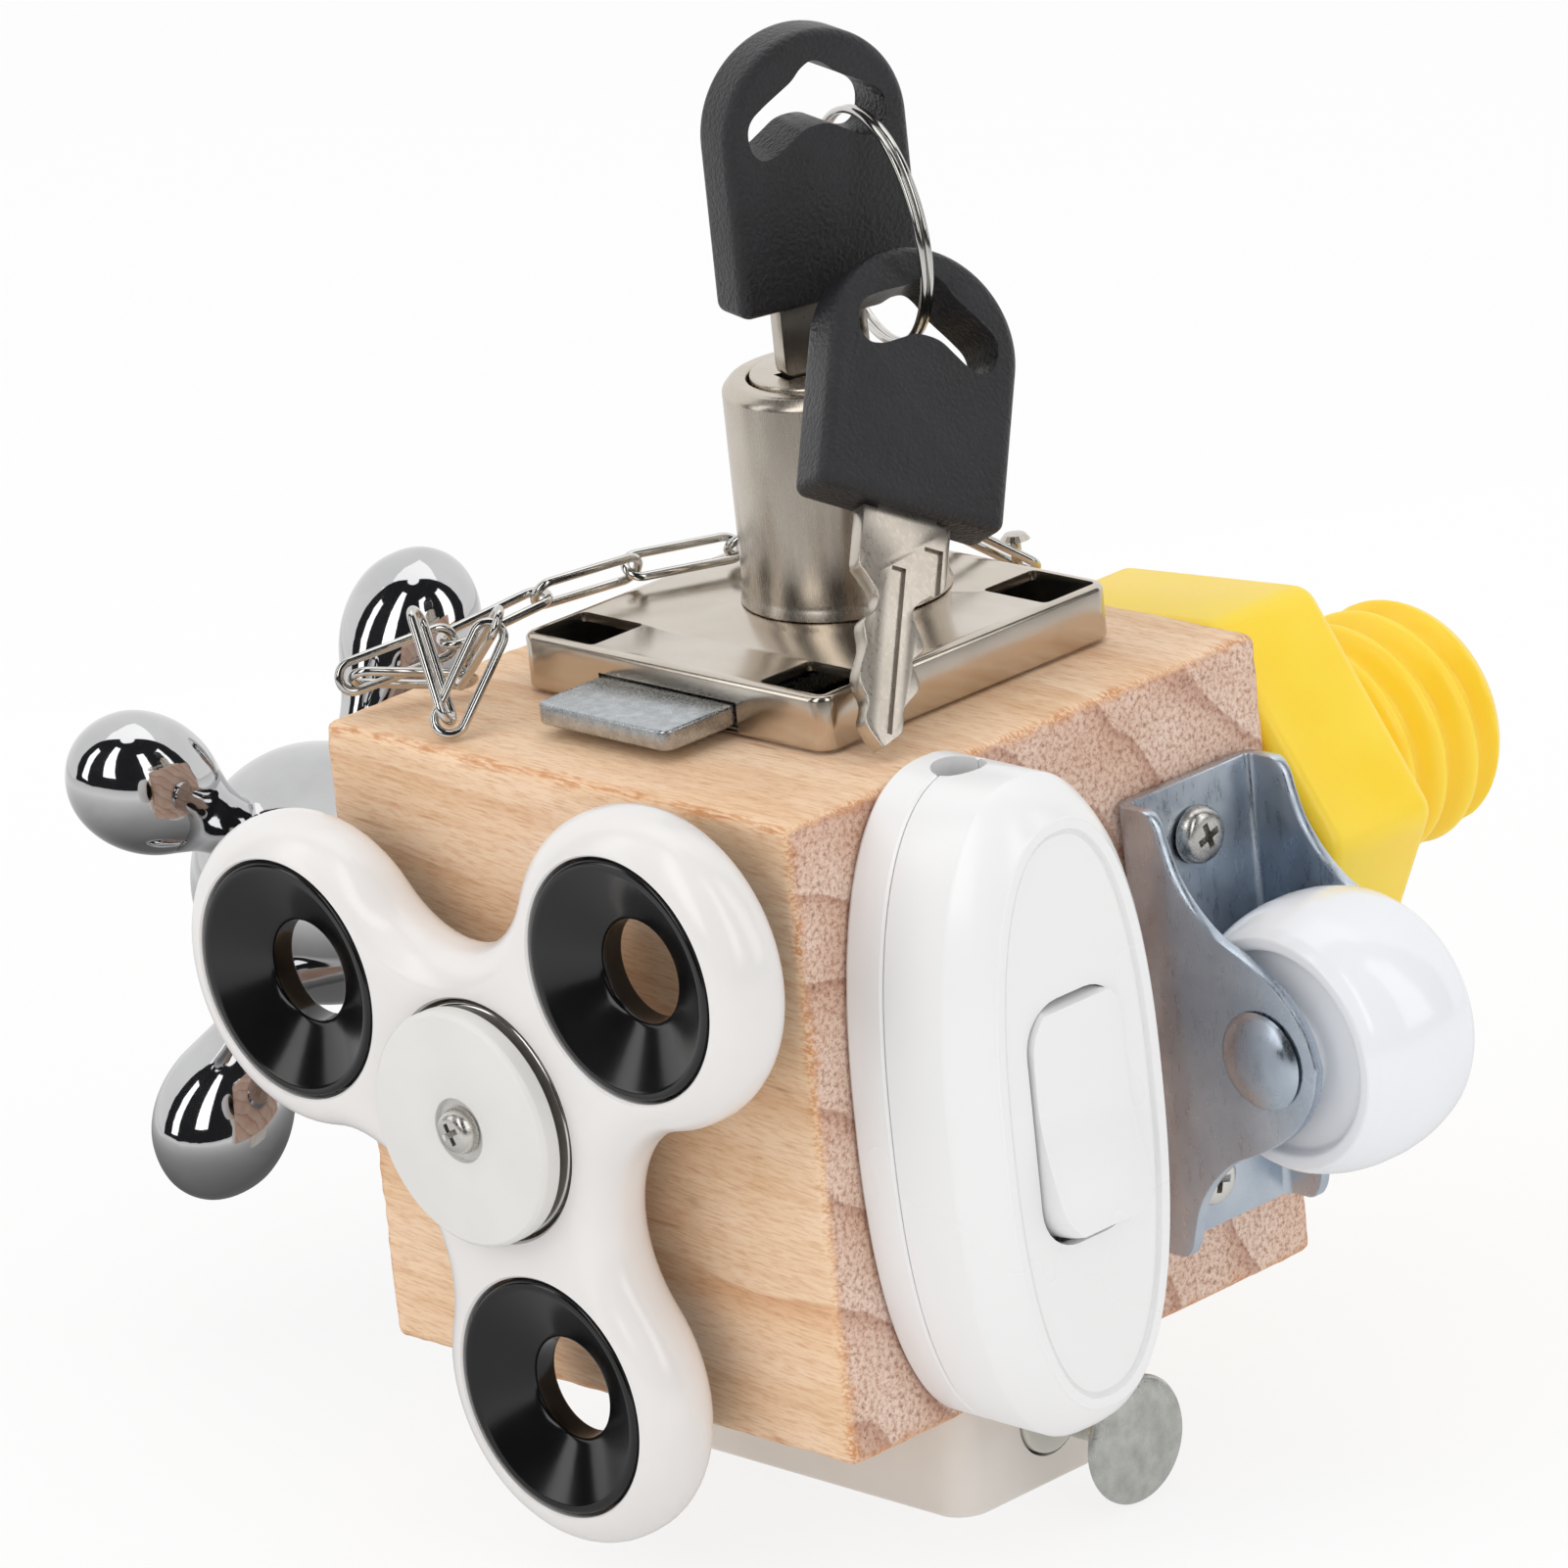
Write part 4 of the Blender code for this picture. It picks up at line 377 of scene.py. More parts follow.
# %% [markdown]
# ## Shapes
# Most hardware is turned on a lathe, pressed from sheet or bent from wire, so three small functions do
# most of the work: spin a profile about Z, extrude an outline, and sweep a round wire along a path.
# Another turns a shape into a finished piece that rides on its body.

# %% Turned and pressed
def spun(profile, steps=96):
    """A profile of (radius, height) points turned about Z. A profile that starts off the axis is closed."""
    bm = bmesh.new()
    points = [bm.verts.new((r, 0, z)) for r, z in profile]
    pairs = list(zip(points, points[1:]))
    if profile[0][0] > 0 and profile[-1][0] > 0:
        pairs.append((points[-1], points[0]))
    edges = [bm.edges.new(pair) for pair in pairs]
    bmesh.ops.spin(bm, geom=points + edges, cent=(0, 0, 0), axis=(0, 0, 1), angle=2 * pi, steps=steps,
                   use_merge=True, use_duplicate=False)
    bmesh.ops.remove_doubles(bm, verts=bm.verts, dist=0.0005)
    return bm


def rod(radius, high, low, steps=96):
    """A round bar about Z, as a drill leaves its hole."""
    return spun([(0, high), (radius, high), (radius, low), (0, low)], steps)


def box(width, depth, height):
    """A plain block about its own middle."""
    bm = bmesh.new()
    bmesh.ops.create_cube(bm, size=1.0)
    bmesh.ops.scale(bm, vec=(width, depth, height), verts=bm.verts)
    return bm


def pressed(outline, low, high):
    """An outline of (x, y) points extruded from one height to another."""
    bm = bmesh.new()
    flat = bm.faces.new([bm.verts.new((x, y, low)) for x, y in outline])
    grown = bmesh.ops.extrude_face_region(bm, geom=[flat])["geom"]
    risen = [part for part in grown if isinstance(part, bmesh.types.BMVert)]
    bmesh.ops.translate(bm, verts=risen, vec=(0, 0, high - low))
    return bm


def moved(bm, matrix):
    bmesh.ops.transform(bm, matrix=matrix, verts=bm.verts)
    return bm


def shift(bm, x, y, z):
    return moved(bm, Matrix.Translation((x, y, z)))


def gathered(*parts):
    """Several loose shapes as one."""
    whole = bmesh.new()
    for part in parts:
        scrap = bpy.data.meshes.new("scrap")
        part.to_mesh(scrap)
        part.free()
        whole.from_mesh(scrap)
        bpy.data.meshes.remove(scrap)
    return whole


# %% Curves and outlines
def softened(profile, radius, steps=3):
    """Round the corners of a lathe profile, apart from its ends."""
    points = [Vector(p) for p in profile]
    closed = profile[0][0] > 0 and profile[-1][0] > 0
    soft = [] if closed else [points[0]]
    count = len(points)
    for k in range(0 if closed else 1, count if closed else count - 1):
        here, before, after = points[k], points[k - 1], points[(k + 1) % count]
        reach = min(radius, (before - here).length / 2.2, (after - here).length / 2.2)
        start = here + (before - here).normalized() * reach
        end = here + (after - here).normalized() * reach
        for step in range(steps + 1):
            t = step / steps
            soft.append(start * (1 - t) ** 2 + here * 2 * t * (1 - t) + end * t ** 2)
    return [tuple(p) for p in soft] + ([] if closed else [tuple(points[-1])])


def smoothed(points, steps=6, closed=False):
    """A smooth curve through a list of points, with some steps between each two."""
    dots = [Vector(p) for p in points]
    count = len(dots)
    line = []
    for k in range(count if closed else count - 1):
        if closed:
            p0, p1, p2, p3 = (dots[(k + d) % count] for d in (-1, 0, 1, 2))
        else:
            p0, p1, p2, p3 = dots[max(k - 1, 0)], dots[k], dots[k + 1], dots[min(k + 2, count - 1)]
        for step in range(steps):
            t = step / steps
            line.append(0.5 * (2 * p1 + (p2 - p0) * t + (2 * p0 - 5 * p1 + 4 * p2 - p3) * t * t
                               + (3 * p1 - p0 - 3 * p2 + p3) * t ** 3))
    if not closed:
        line.append(dots[-1])
    return [tuple(p) for p in line]


def arc(centre, radius, begin, end, steps):
    return [(centre[0] + radius * cos(begin + (end - begin) * k / steps),
             centre[1] + radius * sin(begin + (end - begin) * k / steps)) for k in range(steps + 1)]


def rounded_rectangle(width, length, corner, steps=8):
    points = []
    for k, (side, end) in enumerate(((1, 1), (-1, 1), (-1, -1), (1, -1))):
        centre = (side * (width / 2 - corner), end * (length / 2 - corner))
        points += arc(centre, corner, k * pi / 2, (k + 1) * pi / 2, steps)
    return points


print("an arc of four steps has", len(arc((0, 0), 1, 0, pi, 4)), "points")

# %% Finished pieces
def as_it_is(name, bm):
    """A shape as an object in the scene."""
    mesh = bpy.data.meshes.new(name)
    bm.to_mesh(mesh)
    bm.free()
    made = bpy.data.objects.new(name, mesh)
    scene.collection.objects.link(made)
    return made


def as_object(name, bm, matrix):
    """A bmesh in millimetres as an object in metres, with its place in its mesh."""
    bmesh.ops.remove_doubles(bm, verts=bm.verts, dist=0.0004)
    moved(bm, Matrix.Scale(MM, 4) @ matrix)
    bmesh.ops.recalc_face_normals(bm, faces=bm.faces)
    return as_it_is(name, bm)


def apply_modifiers(target):
    seen = target.evaluated_get(bpy.context.evaluated_depsgraph_get())
    mesh = bpy.data.meshes.new_from_object(seen)
    target.modifiers.clear()
    old = target.data
    target.data = mesh
    bpy.data.meshes.remove(old)
    return target


def carve(target, bm, matrix, operation="DIFFERENCE"):
    """Cut, join or keep what a shape shares with a piece, and make the result its mesh."""
    tool = as_object("tool", bm, matrix)
    step = target.modifiers.new("carve", "BOOLEAN")
    step.operation = operation
    step.solver = "EXACT"
    step.object = tool
    apply_modifiers(target)
    bpy.data.objects.remove(tool)


def edge_softening(target, width, segments=3, angle=40.0):
    """Round every sharp edge of a piece by a width in millimetres."""
    step = target.modifiers.new("edges", "BEVEL")
    step.width = width * MM
    step.segments = segments
    step.profile = 0.5
    step.limit_method = "ANGLE"
    step.angle_limit = radians(angle)
    step.use_clamp_overlap = True
    step.harden_normals = False
    apply_modifiers(target)


def finished(target, material, body, node, angle=38.0):
    """Shade a piece smooth apart from its corners, give it its finish and let it ride in its node's place."""
    target.data.materials.clear()
    target.data.materials.append(material)
    target.data.shade_smooth()
    target.data.set_sharp_from_angle(angle=radians(angle))
    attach(target, body)
    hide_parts(node)
    print(target.name, len(target.data.polygons), "faces")


def bent_wire(name, points, radius, closed, matrix, sides=4):
    """A round wire along a path, as a mesh in metres."""
    curve = bpy.data.curves.new(name, "CURVE")
    curve.dimensions = "3D"
    curve.bevel_depth = radius
    curve.bevel_resolution = sides
    curve.use_fill_caps = True
    line = curve.splines.new("POLY")
    line.points.add(len(points) - 1)
    for target, point in zip(line.points, points):
        target.co = (*point, 1.0)
    line.use_cyclic_u = closed
    drawn = bpy.data.objects.new(name + "_path", curve)
    scene.collection.objects.link(drawn)
    mesh = bpy.data.meshes.new_from_object(drawn.evaluated_get(bpy.context.evaluated_depsgraph_get()))
    bpy.data.objects.remove(drawn)
    bm = bmesh.new()
    bm.from_mesh(mesh)
    bpy.data.meshes.remove(mesh)
    return as_object(name, bm, matrix)


print("shapes ready")

# %% [markdown]
# ## The cube
# A sanded offcut of pine. Its edges are eased by hand, so they are not quite straight. The shape starts
# from a cube whose edges are bevelled, is cut into small squares, and the points near an edge are pushed
# in and out by a noise that is stretched along the fibres.

# %% Pine cube
NEAR_AN_EDGE = HALF - 1.6
WEAR = 0.0045

block = bmesh.new()
bmesh.ops.create_cube(block, size=BLOCK_SIDE)
bmesh.ops.bevel(block, geom=block.edges[:], offset=1.15, offset_type="OFFSET", segments=4, profile=0.5,
                affect="EDGES", material=-1)
long_edges = [e for e in block.edges if e.calc_length() > 10.0]
bmesh.ops.subdivide_edges(block, edges=long_edges, cuts=47, use_grid_fill=True)
for vert in block.verts:
    x, y, z = vert.co
    if sorted((abs(x), abs(y), abs(z)))[1] > NEAR_AN_EDGE:
        push = noise.noise(Vector((x * 0.15, y * 0.9, z * 0.9)))
        push += 0.6 * noise.noise(Vector((x * 0.9, y * 1.3, z * 1.3 + 7.0)))
        vert.co *= 1.0 - WEAR * max(0.0, push + 0.12)
cube = as_object("pine_cube", block, Matrix.Translation((0, 0, BLOCK_MIDDLE)))
finished(cube, pine, "cube", "block", angle=60.0)

# %% [markdown]
# ## The push latch
# The cube stands on a grey push latch, a flat box with soft corners. A zinc-plated pin with a pitted,
# slightly domed head slides in and out of its end through a milky plastic bush.

# %% Push latch
PIN_LINE = on("below", 24.0, 0, 6.5, (0, pi / 2, 0))
latch = as_object("latch_body_shell", pressed(rounded_rectangle(48.0, 23.4, 3.2, 10), 0, 13.0), on("below"))
edge_softening(latch, 0.5)
for side in (-1, 1):
    carve(latch, rod(3.0, 3.25, -2, 48), on("below", side * 18.0, 6.2, 0))
carve(latch, spun([(0, 3), (3.8, 3), (3.8, -6.3), (1.6, -6.3), (1.6, -35.3), (0, -35.3)], 64), PIN_LINE)
finished(latch, latch_grey, "cube", "latch_body")

# %% Push pin
profile = smoothed([(0, 11.6), (2.4, 11.58), (4.6, 11.5), (5.7, 11.25)], 4)
profile += softened([(5.7, 11.25), (6.1, 10.8), (5.7, 10.35), (1.8, 10.3), (1.3, 9.4), (1.3, -25.6),
                     (0.9, -26), (0, -26)], 0.3)[1:]
finished(as_object("push_pin", spun(profile), PIN_LINE), pin_zinc, "latch_pin", "latch_pin",
         angle=50.0)
bush = spun(softened([(1.6, 0.4), (3.5, 0.4), (3.5, -6.0), (1.6, -6.0)], 0.35), 64)
finished(as_object("pin_guide", bush, PIN_LINE), bush_clear, "cube", "pin_bush")

# %% [markdown]
# ## The spinner
# The spinner's body is moulded in one piece: three round lobes joined by hollow curves that touch both
# neighbours. Its edge is rounded so far that a lobe looks like a swollen ring. The outline comes from the
# two radii, the slab is bevelled with many segments, and the four bores are cut last so that they stay
# sharp. The weights are dished steel rings under black enamel.

# %% Spinner body
SPINNER = on("front", -0.6, 1.1, 0)
ARM_REACH = 26.0
ARM_STEP = 2 * pi / 3
ARM_AIMS = [radians(40.3) + k * ARM_STEP for k in range(3)]
LOBES = [(ARM_REACH * cos(aim), ARM_REACH * sin(aim)) for aim in ARM_AIMS]
LOW, HIGH = 3.8, 12.0
WEIGHT_RADIUS = 11.0
BORE_RADIUS = 11.32
RIM_RADIUS, RIM_DEPTH = 11.9, 0.35


def spinner_outline(lobe=14.7, waist=15.0):
    """Three lobes and the hollows between them. A hollow's radius is the one that touches two lobes."""
    fillet = lobe ** 2 - waist ** 2 - ARM_REACH ** 2 + ARM_REACH * waist
    fillet /= 2 * waist - ARM_REACH - 2 * lobe
    points = []
    for aim, lobe_middle in zip(ARM_AIMS, LOBES):
        middle = Vector(lobe_middle)
        between = aim + ARM_STEP / 2
        hollow = Vector((cos(between), sin(between))) * (waist + fillet)
        touch = atan2(*(hollow - middle).yx)
        half = (touch - aim) % (2 * pi)
        points += arc(middle, lobe, aim - half, aim + half, 48)
        span = (between - touch + pi) % (2 * pi) - pi
        points += arc(hollow, fillet, touch + pi, touch + pi + 2 * span, 22)[1:-1]
    return points


spinner = as_object("spinner_shell", pressed(spinner_outline(), LOW, HIGH), SPINNER)
edge_softening(spinner, 3.7, 9)
for x, y in [(0, 0)] + LOBES:
    rim = spun([(0, HIGH + 0.4), (RIM_RADIUS, HIGH + 0.4), (11.2, HIGH - RIM_DEPTH), (0, HIGH - RIM_DEPTH)],
               128)
    carve(spinner, shift(rod(BORE_RADIUS, 20, -5, 128), x, y, 0), SPINNER)
    carve(spinner, shift(rim, x, y, 0), SPINNER)
finished(spinner, spinner_white, "spinner", "spinner_body", angle=32.0)

# %% Weights and bearing
rear = [(10.3, LOW + 0.05), (5.6, LOW + 2.4), (4.75, LOW + 2.85)]
front = [(r, LOW + HIGH - z) for r, z in reversed(rear)]
dish = softened([(WEIGHT_RADIUS, HIGH - 0.1), (WEIGHT_RADIUS, LOW + 0.1)] + rear + front, 0.35)
for k, (x, y) in enumerate(LOBES, 1):
    ring = as_object("spinner_ring_%d" % k, shift(spun(dish, 128), x, y, 0), SPINNER)
    finished(ring, weight_black, "spinner", "spinner_weight_%d" % k)

low, high, ball_count, ball_radius, ball_ring = 4.4, 11.4, 7, 1.25, 7.5
outer = softened([(WEIGHT_RADIUS, low), (WEIGHT_RADIUS, high + 0.45), (8.8, high + 0.45), (8.8, low)], 0.35)
inner = softened([(6.2, low), (6.2, high), (4.0, high), (4.0, low)], 0.3)
balls = []
for k in range(ball_count):
    ball = bmesh.new()
    bmesh.ops.create_uvsphere(ball, u_segments=20, v_segments=12, radius=ball_radius)
    turn = 2 * pi * k / ball_count
    balls.append(shift(ball, ball_ring * cos(turn), ball_ring * sin(turn), (low + high) / 2))
cage = spun([(7.8, low + 1.0), (7.8, low + 1.4), (7.2, low + 1.4), (7.2, low + 1.0)], 64)
for name, shape, body, node in (("outer_race", spun(outer), "spinner", "bearing_outer_race"),
                                ("inner_race", spun(inner), "cube", "bearing_inner_race"),
                                ("balls_and_cage", gathered(cage, *balls), "spinner", "bearing_cage")):
    finished(as_object(name, shape, SPINNER), wire_steel, body, node)

# %% [markdown]
# ## Screws
# Every thing is fixed with small cross-recessed pan-head screws. The head is turned, and the recess is
# cut with a cross that narrows towards its bottom.

# %% Pan-head screws
def cross_cutter(top, reach, depth):
    """A cross of two tapering blades."""
    blades = []
    for k in range(2):
        blade = box(reach * 2, reach * 0.46, depth * 2)
        for vert in blade.verts:
            if vert.co.z < 0:
                vert.co.x *= 0.45
                vert.co.y *= 0.62
        moved(blade, Matrix.Rotation(k * pi / 2, 4, "Z"))
        blades.append(shift(blade, 0, 0, top))
    return blades


def make_screw(name, node, place, head=2.7, height=1.6, shank=1.3, length=12.0, twist=0.4):
    """A pan-head screw in the cube: the frame's origin is under its head."""
    dome = smoothed([(0, height), (head * 0.58, height * 0.98), (head * 0.84, height * 0.83),
                     (head * 0.97, height * 0.46), (head, height * 0.12)], 4)
    dome += softened([(head, height * 0.12), (head, 0), (shank, 0), (shank, -length), (0, -length - 1)],
                     0.12)[1:]
    made = as_object(name, spun(dome, 48), place)
    for blade in cross_cutter(height, head * 0.68, height * 0.66):
        carve(made, moved(blade, Matrix.Rotation(twist, 4, "Z")), place)
    finished(made, screw_steel, "cube", node, angle=35.0)


# %% Cap and its screw
CAP_TOP = 14.8
profile = softened([(10.6, CAP_TOP), (11.0, CAP_TOP - 0.4), (11.0, 12.9), (5.2, 12.9), (5.2, 11.7),
                    (3.7, 11.7), (3.7, 7.9), (1.6, 7.9), (1.6, CAP_TOP - 0.7), (3.0, CAP_TOP - 0.7),
                    (3.0, CAP_TOP)], 0.12)
cap = as_object("spinner_button", spun(profile, 128), SPINNER)
finished(cap, cap_white, "cube", "spinner_cap")
make_screw("spinner_middle_screw", "spinner_screw", SPINNER @ face(0, 0, CAP_TOP - 0.5), head=2.15,
           length=26.0, twist=0.5)

# %% [markdown]
# ## The tap handle
# A chrome-plated cross handle from a garden tap: a bell on a flange, a round hub and four arms that end
# in balls. The casting has no sharp corner where the arms meet the hub. The parts are spun, gathered,
# remeshed as one skin and smoothed, which gives that soft join.

# %% Tap handle
TAP = on("left", 0, -0.8, 0)
TAP_TURN = radians(37.5)
ARM_LEVEL = 38.5
ARM_LENGTH, ARM_RADIUS = 26.9, 3.0
BELL_HEIGHT, BELL_RADIUS, FLANGE_RADIUS = 47.5, 12.9, 13.8
SKIN_GRID = 0.42

shares = [(0.005, 1.0), (0.045, 1.0), (0.09, 0.93), (0.20, 0.79), (0.36, 0.735), (0.50, 0.75), (0.64, 0.87),
          (0.74, 0.955), (0.82, 0.976), (0.89, 0.92), (0.95, 0.80), (0.985, 0.66), (1.0, 0.58)]
bell = [((FLANGE_RADIUS if share == 1.0 else BELL_RADIUS) * share, BELL_HEIGHT * up) for up, share in shares]
bell = smoothed(bell, 6)
parts = [spun([(0, bell[0][1])] + bell + [(0, bell[-1][1])], 128)]
shares = [(0.30, 1.1), (0.38, 1.0), (0.48, 1.02), (0.60, 1.24), (0.70, 1.62), (0.79, 1.98), (0.88, 2.17),
          (0.97, 2.19), (1.06, 2.02), (1.13, 1.68), (1.19, 1.16), (1.225, 0.60), (1.238, 0.0)]
line = smoothed([(ARM_RADIUS * share, ARM_LENGTH * out) for out, share in shares], 6)
for k in range(4):
    arm = spun([(0, line[0][1])] + line, 64)
    moved(arm, Matrix.Rotation(TAP_TURN + k * pi / 2, 4, "Z") @ Matrix.Rotation(pi / 2, 4, "Y"))
    parts.append(shift(arm, 0, 0, ARM_LEVEL))
handle = as_object("tap_cross_handle", gathered(*parts), TAP)
skin = handle.modifiers.new("skin", "REMESH")
skin.mode = "VOXEL"
skin.voxel_size = SKIN_GRID * MM
smooth = handle.modifiers.new("smooth", "SMOOTH")
smooth.factor = 0.5
smooth.iterations = 14
apply_modifiers(handle)
finished(handle, chrome, "tap", "tap_handle", angle=80.0)
button = spun(smoothed([(0, 48.0), (3.0, 47.9), (5.4, 47.5), (6.5, 46.9)], 5) + [(6.5, 41), (0, 41)], 96)
finished(as_object("tap_button_cap", button, TAP), chrome, "tap", "tap_button")

# %% [markdown]
# ## The cord switch
# An in-line lamp switch: two moulded shells that meet at a seam, a mouth for the cord at each end, a
# raised oval panel and a rocker with rounded ends. Its outline is fuller than an ellipse. Each
# shell is one outline drawn up from level to level, so the sides lean in towards the panel.

# %% Levels of an outline
SWITCH = on("right", -13.6, 1.2, 0)
SWITCH_WIDTH, SWITCH_LENGTH = 25.2, 61.2
PANEL_WIDTH, PANEL_LENGTH = 20.0, 54.6
WALLS = 3.6
SLOPE_FOOT, SLOPE_RISE = 12.1, 4.15
CORD_MOUTH_RADIUS, SEAM_LEVEL = 2.5, 5.05
SWITCH_SCREW_REACH = 19.0
ROCKER_CORNER = 4.2


def oval(width, length, fullness=0.84, steps=160):
    points = []
    for k in range(steps):
        x, y = cos(2 * pi * k / steps), sin(2 * pi * k / steps)
        points.append((width / 2 * abs(x) ** fullness * (1 if x > 0 else -1),
                       length / 2 * abs(y) ** fullness * (1 if y > 0 else -1)))
    return points


def rim_less(inset):
    """The switch's outline, smaller by an amount across and along."""
    return oval(SWITCH_WIDTH - inset, SWITCH_LENGTH - inset)


def stacked(levels):
    """One outline drawn up through the levels: its points move on to each next outline."""
    bm = bmesh.new()
    place = bm.verts.layers.int.new("place")
    dots = [bm.verts.new((x, y, levels[0][1])) for x, y in levels[0][0]]
    for k, dot in enumerate(dots):
        dot[place] = k
    loop = [bm.edges.new((dots[k - 1], dots[k])) for k in range(len(dots))]
    bmesh.ops.contextual_create(bm, geom=loop)
    for outline, height in levels[1:]:
        grown = bmesh.ops.extrude_edge_only(bm, edges=loop)["geom"]
        dots = {part for part in grown if isinstance(part, bmesh.types.BMVert)}
        edges = [part for part in grown if isinstance(part, bmesh.types.BMEdge)]
        loop = [edge for edge in edges if dots.issuperset(edge.verts)]
        for dot in dots:
            dot.co = (*outline[dot[place]], height)
    bmesh.ops.contextual_create(bm, geom=loop)
    return bm


print("the switch's outline has", len(rim_less(0)), "points")

# %% Cord switch
base = stacked([(rim_less(0.5), 0.3), (rim_less(0), 0.7), (rim_less(0), 4.6), (rim_less(0.3), 4.9)])
base = as_object("switch_lower_shell", base, SWITCH)
carve(base, pressed(rim_less(WALLS), 2.1, 9.0), SWITCH)
rings = [(rim_less(0.3), 5.0), (rim_less(0), 5.2), (rim_less(0), 11.95)]
slope = ((0.02, 0.03), (0.07, 0.115), (0.25, 0.38), (0.50, 0.665), (0.75, 0.86), (0.96, 0.975), (1, 1))
for share, up in slope:
    rings.append((oval(SWITCH_WIDTH - (SWITCH_WIDTH - PANEL_WIDTH) * share,
                       SWITCH_LENGTH - (SWITCH_LENGTH - PANEL_LENGTH) * share), SLOPE_FOOT + SLOPE_RISE * up))
panel = ((0.15, 16.38), (0.5, 16.4), (2.0, 16.34), (2.2, 16.24), (2.5, 15.86), (2.8, 15.86), (3.1, 16.0))
for inset, height in panel:
    rings.append((oval(PANEL_WIDTH - inset, PANEL_LENGTH - inset), height))
cover = as_object("switch_upper_shell", stacked(rings), SWITCH)
carve(cover, stacked([(rim_less(WALLS), 2.0), (rim_less(WALLS), 11.3), (oval(15.2, 48.2), 14.7)]), SWITCH)
carve(cover, pressed(rounded_rectangle(11.8, 22.8, ROCKER_CORNER), 6.0, 24.0), SWITCH)
for side in (1, -1):
    for shell in (base, cover):
        mouth = moved(rod(CORD_MOUTH_RADIUS, 6, -6, 48), Matrix.Rotation(pi / 2, 4, "X"))
        carve(shell, shift(mouth, 0, side * SWITCH_LENGTH / 2, SEAM_LEVEL), SWITCH)
for k, side in ((1, 1), (2, -1)):
    make_screw("switch_fixing_screw_%d" % k, "switch_screw_%d" % k,
               SWITCH @ face(0, side * SWITCH_SCREW_REACH, 2.4), length=13.5)
finished(base, switch_white, "cube", "switch_base", angle=24.0)
finished(cover, switch_white, "cube", "switch_cover", angle=24.0)

# %% Rocker
top, depth, rise, tilt, length, width = 16.0, 5.2, 2.2, radians(7.0), 22.2, 11.2
half = length / 2
crest = depth / 2 + rise * 0.3
horn = crest + half * sin(tilt)
tip = sqrt(half ** 2 - horn ** 2)
saddle = crest + (horn - crest) * 0.36
outline = smoothed([(-tip, horn), (-tip * 0.5, saddle), (0, crest), (tip * 0.5, saddle), (tip, horn)], 8)
outline += [(half, 0), (half * 0.97, -depth / 2), (-half * 0.97, -depth / 2), (-half, 0)]
rocker = pressed(outline, -width / 2, width / 2)
moved(rocker, Matrix.Rotation(pi / 2, 4, "Z") @ Matrix.Rotation(pi / 2, 4, "X"))
seat = SWITCH @ face(0, 0, top - depth / 2) @ Matrix.Rotation(-tilt, 4, "X")
rocker = as_object("switch_rocker_key", rocker, seat)
carve(rocker, pressed(rounded_rectangle(width, length, ROCKER_CORNER), -depth, depth + rise + 4), seat,
      "INTERSECT")
edge_softening(rocker, 0.45, 4, 30.0)
finished(rocker, switch_white, "rocker", "switch_rocker")

# %% [markdown]
# ## The castor
# A fixed castor: a channel of blue zinc-plated sheet with two curved ears, a nylon wheel shaped like a
# barrel, and a domed rivet through both. The ears' outline is drawn once and kept where it overlaps the
# bent channel.

# %% Castor bracket
CASTOR = on("right", 18.0, -1.2, 0)
half, outer, sheet, reach, bend = 21.3, 9.0, 1.2, 22.4, 2.0
AXLE_HEIGHT = 16.4

outline = arc((outer - bend, 0.3 + bend), bend, -pi / 2, 0, 5)
outline += [(outer, reach + 4), (outer - sheet, reach + 4)]
outline += arc((outer - bend, 0.3 + bend), bend - sheet, 0, -pi / 2, 5)
outline += [(-x, y) for x, y in reversed(outline)]
channel = moved(pressed(outline, -half, half), Matrix.Rotation(pi / 2, 4, "X"))
bracket = as_object("castor_channel", channel, CASTOR)
shares = [(0.0, 1.0), (0.17, 1.0), (0.23, 0.95), (0.26, 0.85), (0.30, 0.74), (0.38, 0.62), (0.50, 0.51),
          (0.64, 0.44), (0.76, 0.37), (0.87, 0.28), (0.96, 0.15), (1.0, 0.0)]
upper = smoothed([(0.3 + reach * out, half * up) for out, up in shares], 5)[1:]
lower = [(out, -up) for out, up in reversed(upper[:-1])]
foot = [(-4, half + 0.02), (0.3, half + 0.02)]
ear = pressed(foot + upper + lower + [(out, -up) for out, up in reversed(foot)], -14, 14)
carve(bracket, moved(ear, Matrix.Rotation(-pi / 2, 4, "Y")), CASTOR, "INTERSECT")
edge_softening(bracket, 0.18, 2, 40.0)
finished(bracket, zinc_blue, "cube", "castor_bracket", angle=40.0)
for k, (x, y) in enumerate(((0, 16.0), (-2.6, -16.0))):
    make_screw("castor_fixing_screw_%d" % (k + 1), "castor_screw_%d" % (k + 1), CASTOR @ face(x, y, 1.8),
               length=13.0, twist=0.3 + k)


# %% Castor wheel
def mirrored_about_middle(line):
    return [(r, -z) for r, z in reversed(line)]


AXLE = CASTOR @ face(0, 0, AXLE_HEIGHT) @ Matrix.Rotation(pi / 2, 4, "Y")
rim, hub, shoulder, crown = 7.02, 7.5, 10.8, 1.9
shares = ((0.50, 0), (0.46, 0.22), (0.40, 0.47), (0.24, 0.83), (0.08, 0.985))
tread = [(shoulder + crown * up, rim * out * 2) for out, up in shares]
side = softened([(2.1, hub), (4.2, hub), (4.6, hub - 1.6), (9.3, hub - 1.6), (9.6, rim), tread[0]], 0.4)[:-1]
half_wheel = side + smoothed(tread, 4)
wheel = as_object("castor_roller", spun(half_wheel + mirrored_about_middle(half_wheel), 128), AXLE)
finished(wheel, wheel_white, "wheel", "castor_wheel", angle=50.0)
dome = smoothed([(0, 10.75), (1.6, 10.68), (3.1, 10.35), (4.1, 9.85), (4.6, 9.35)], 5)
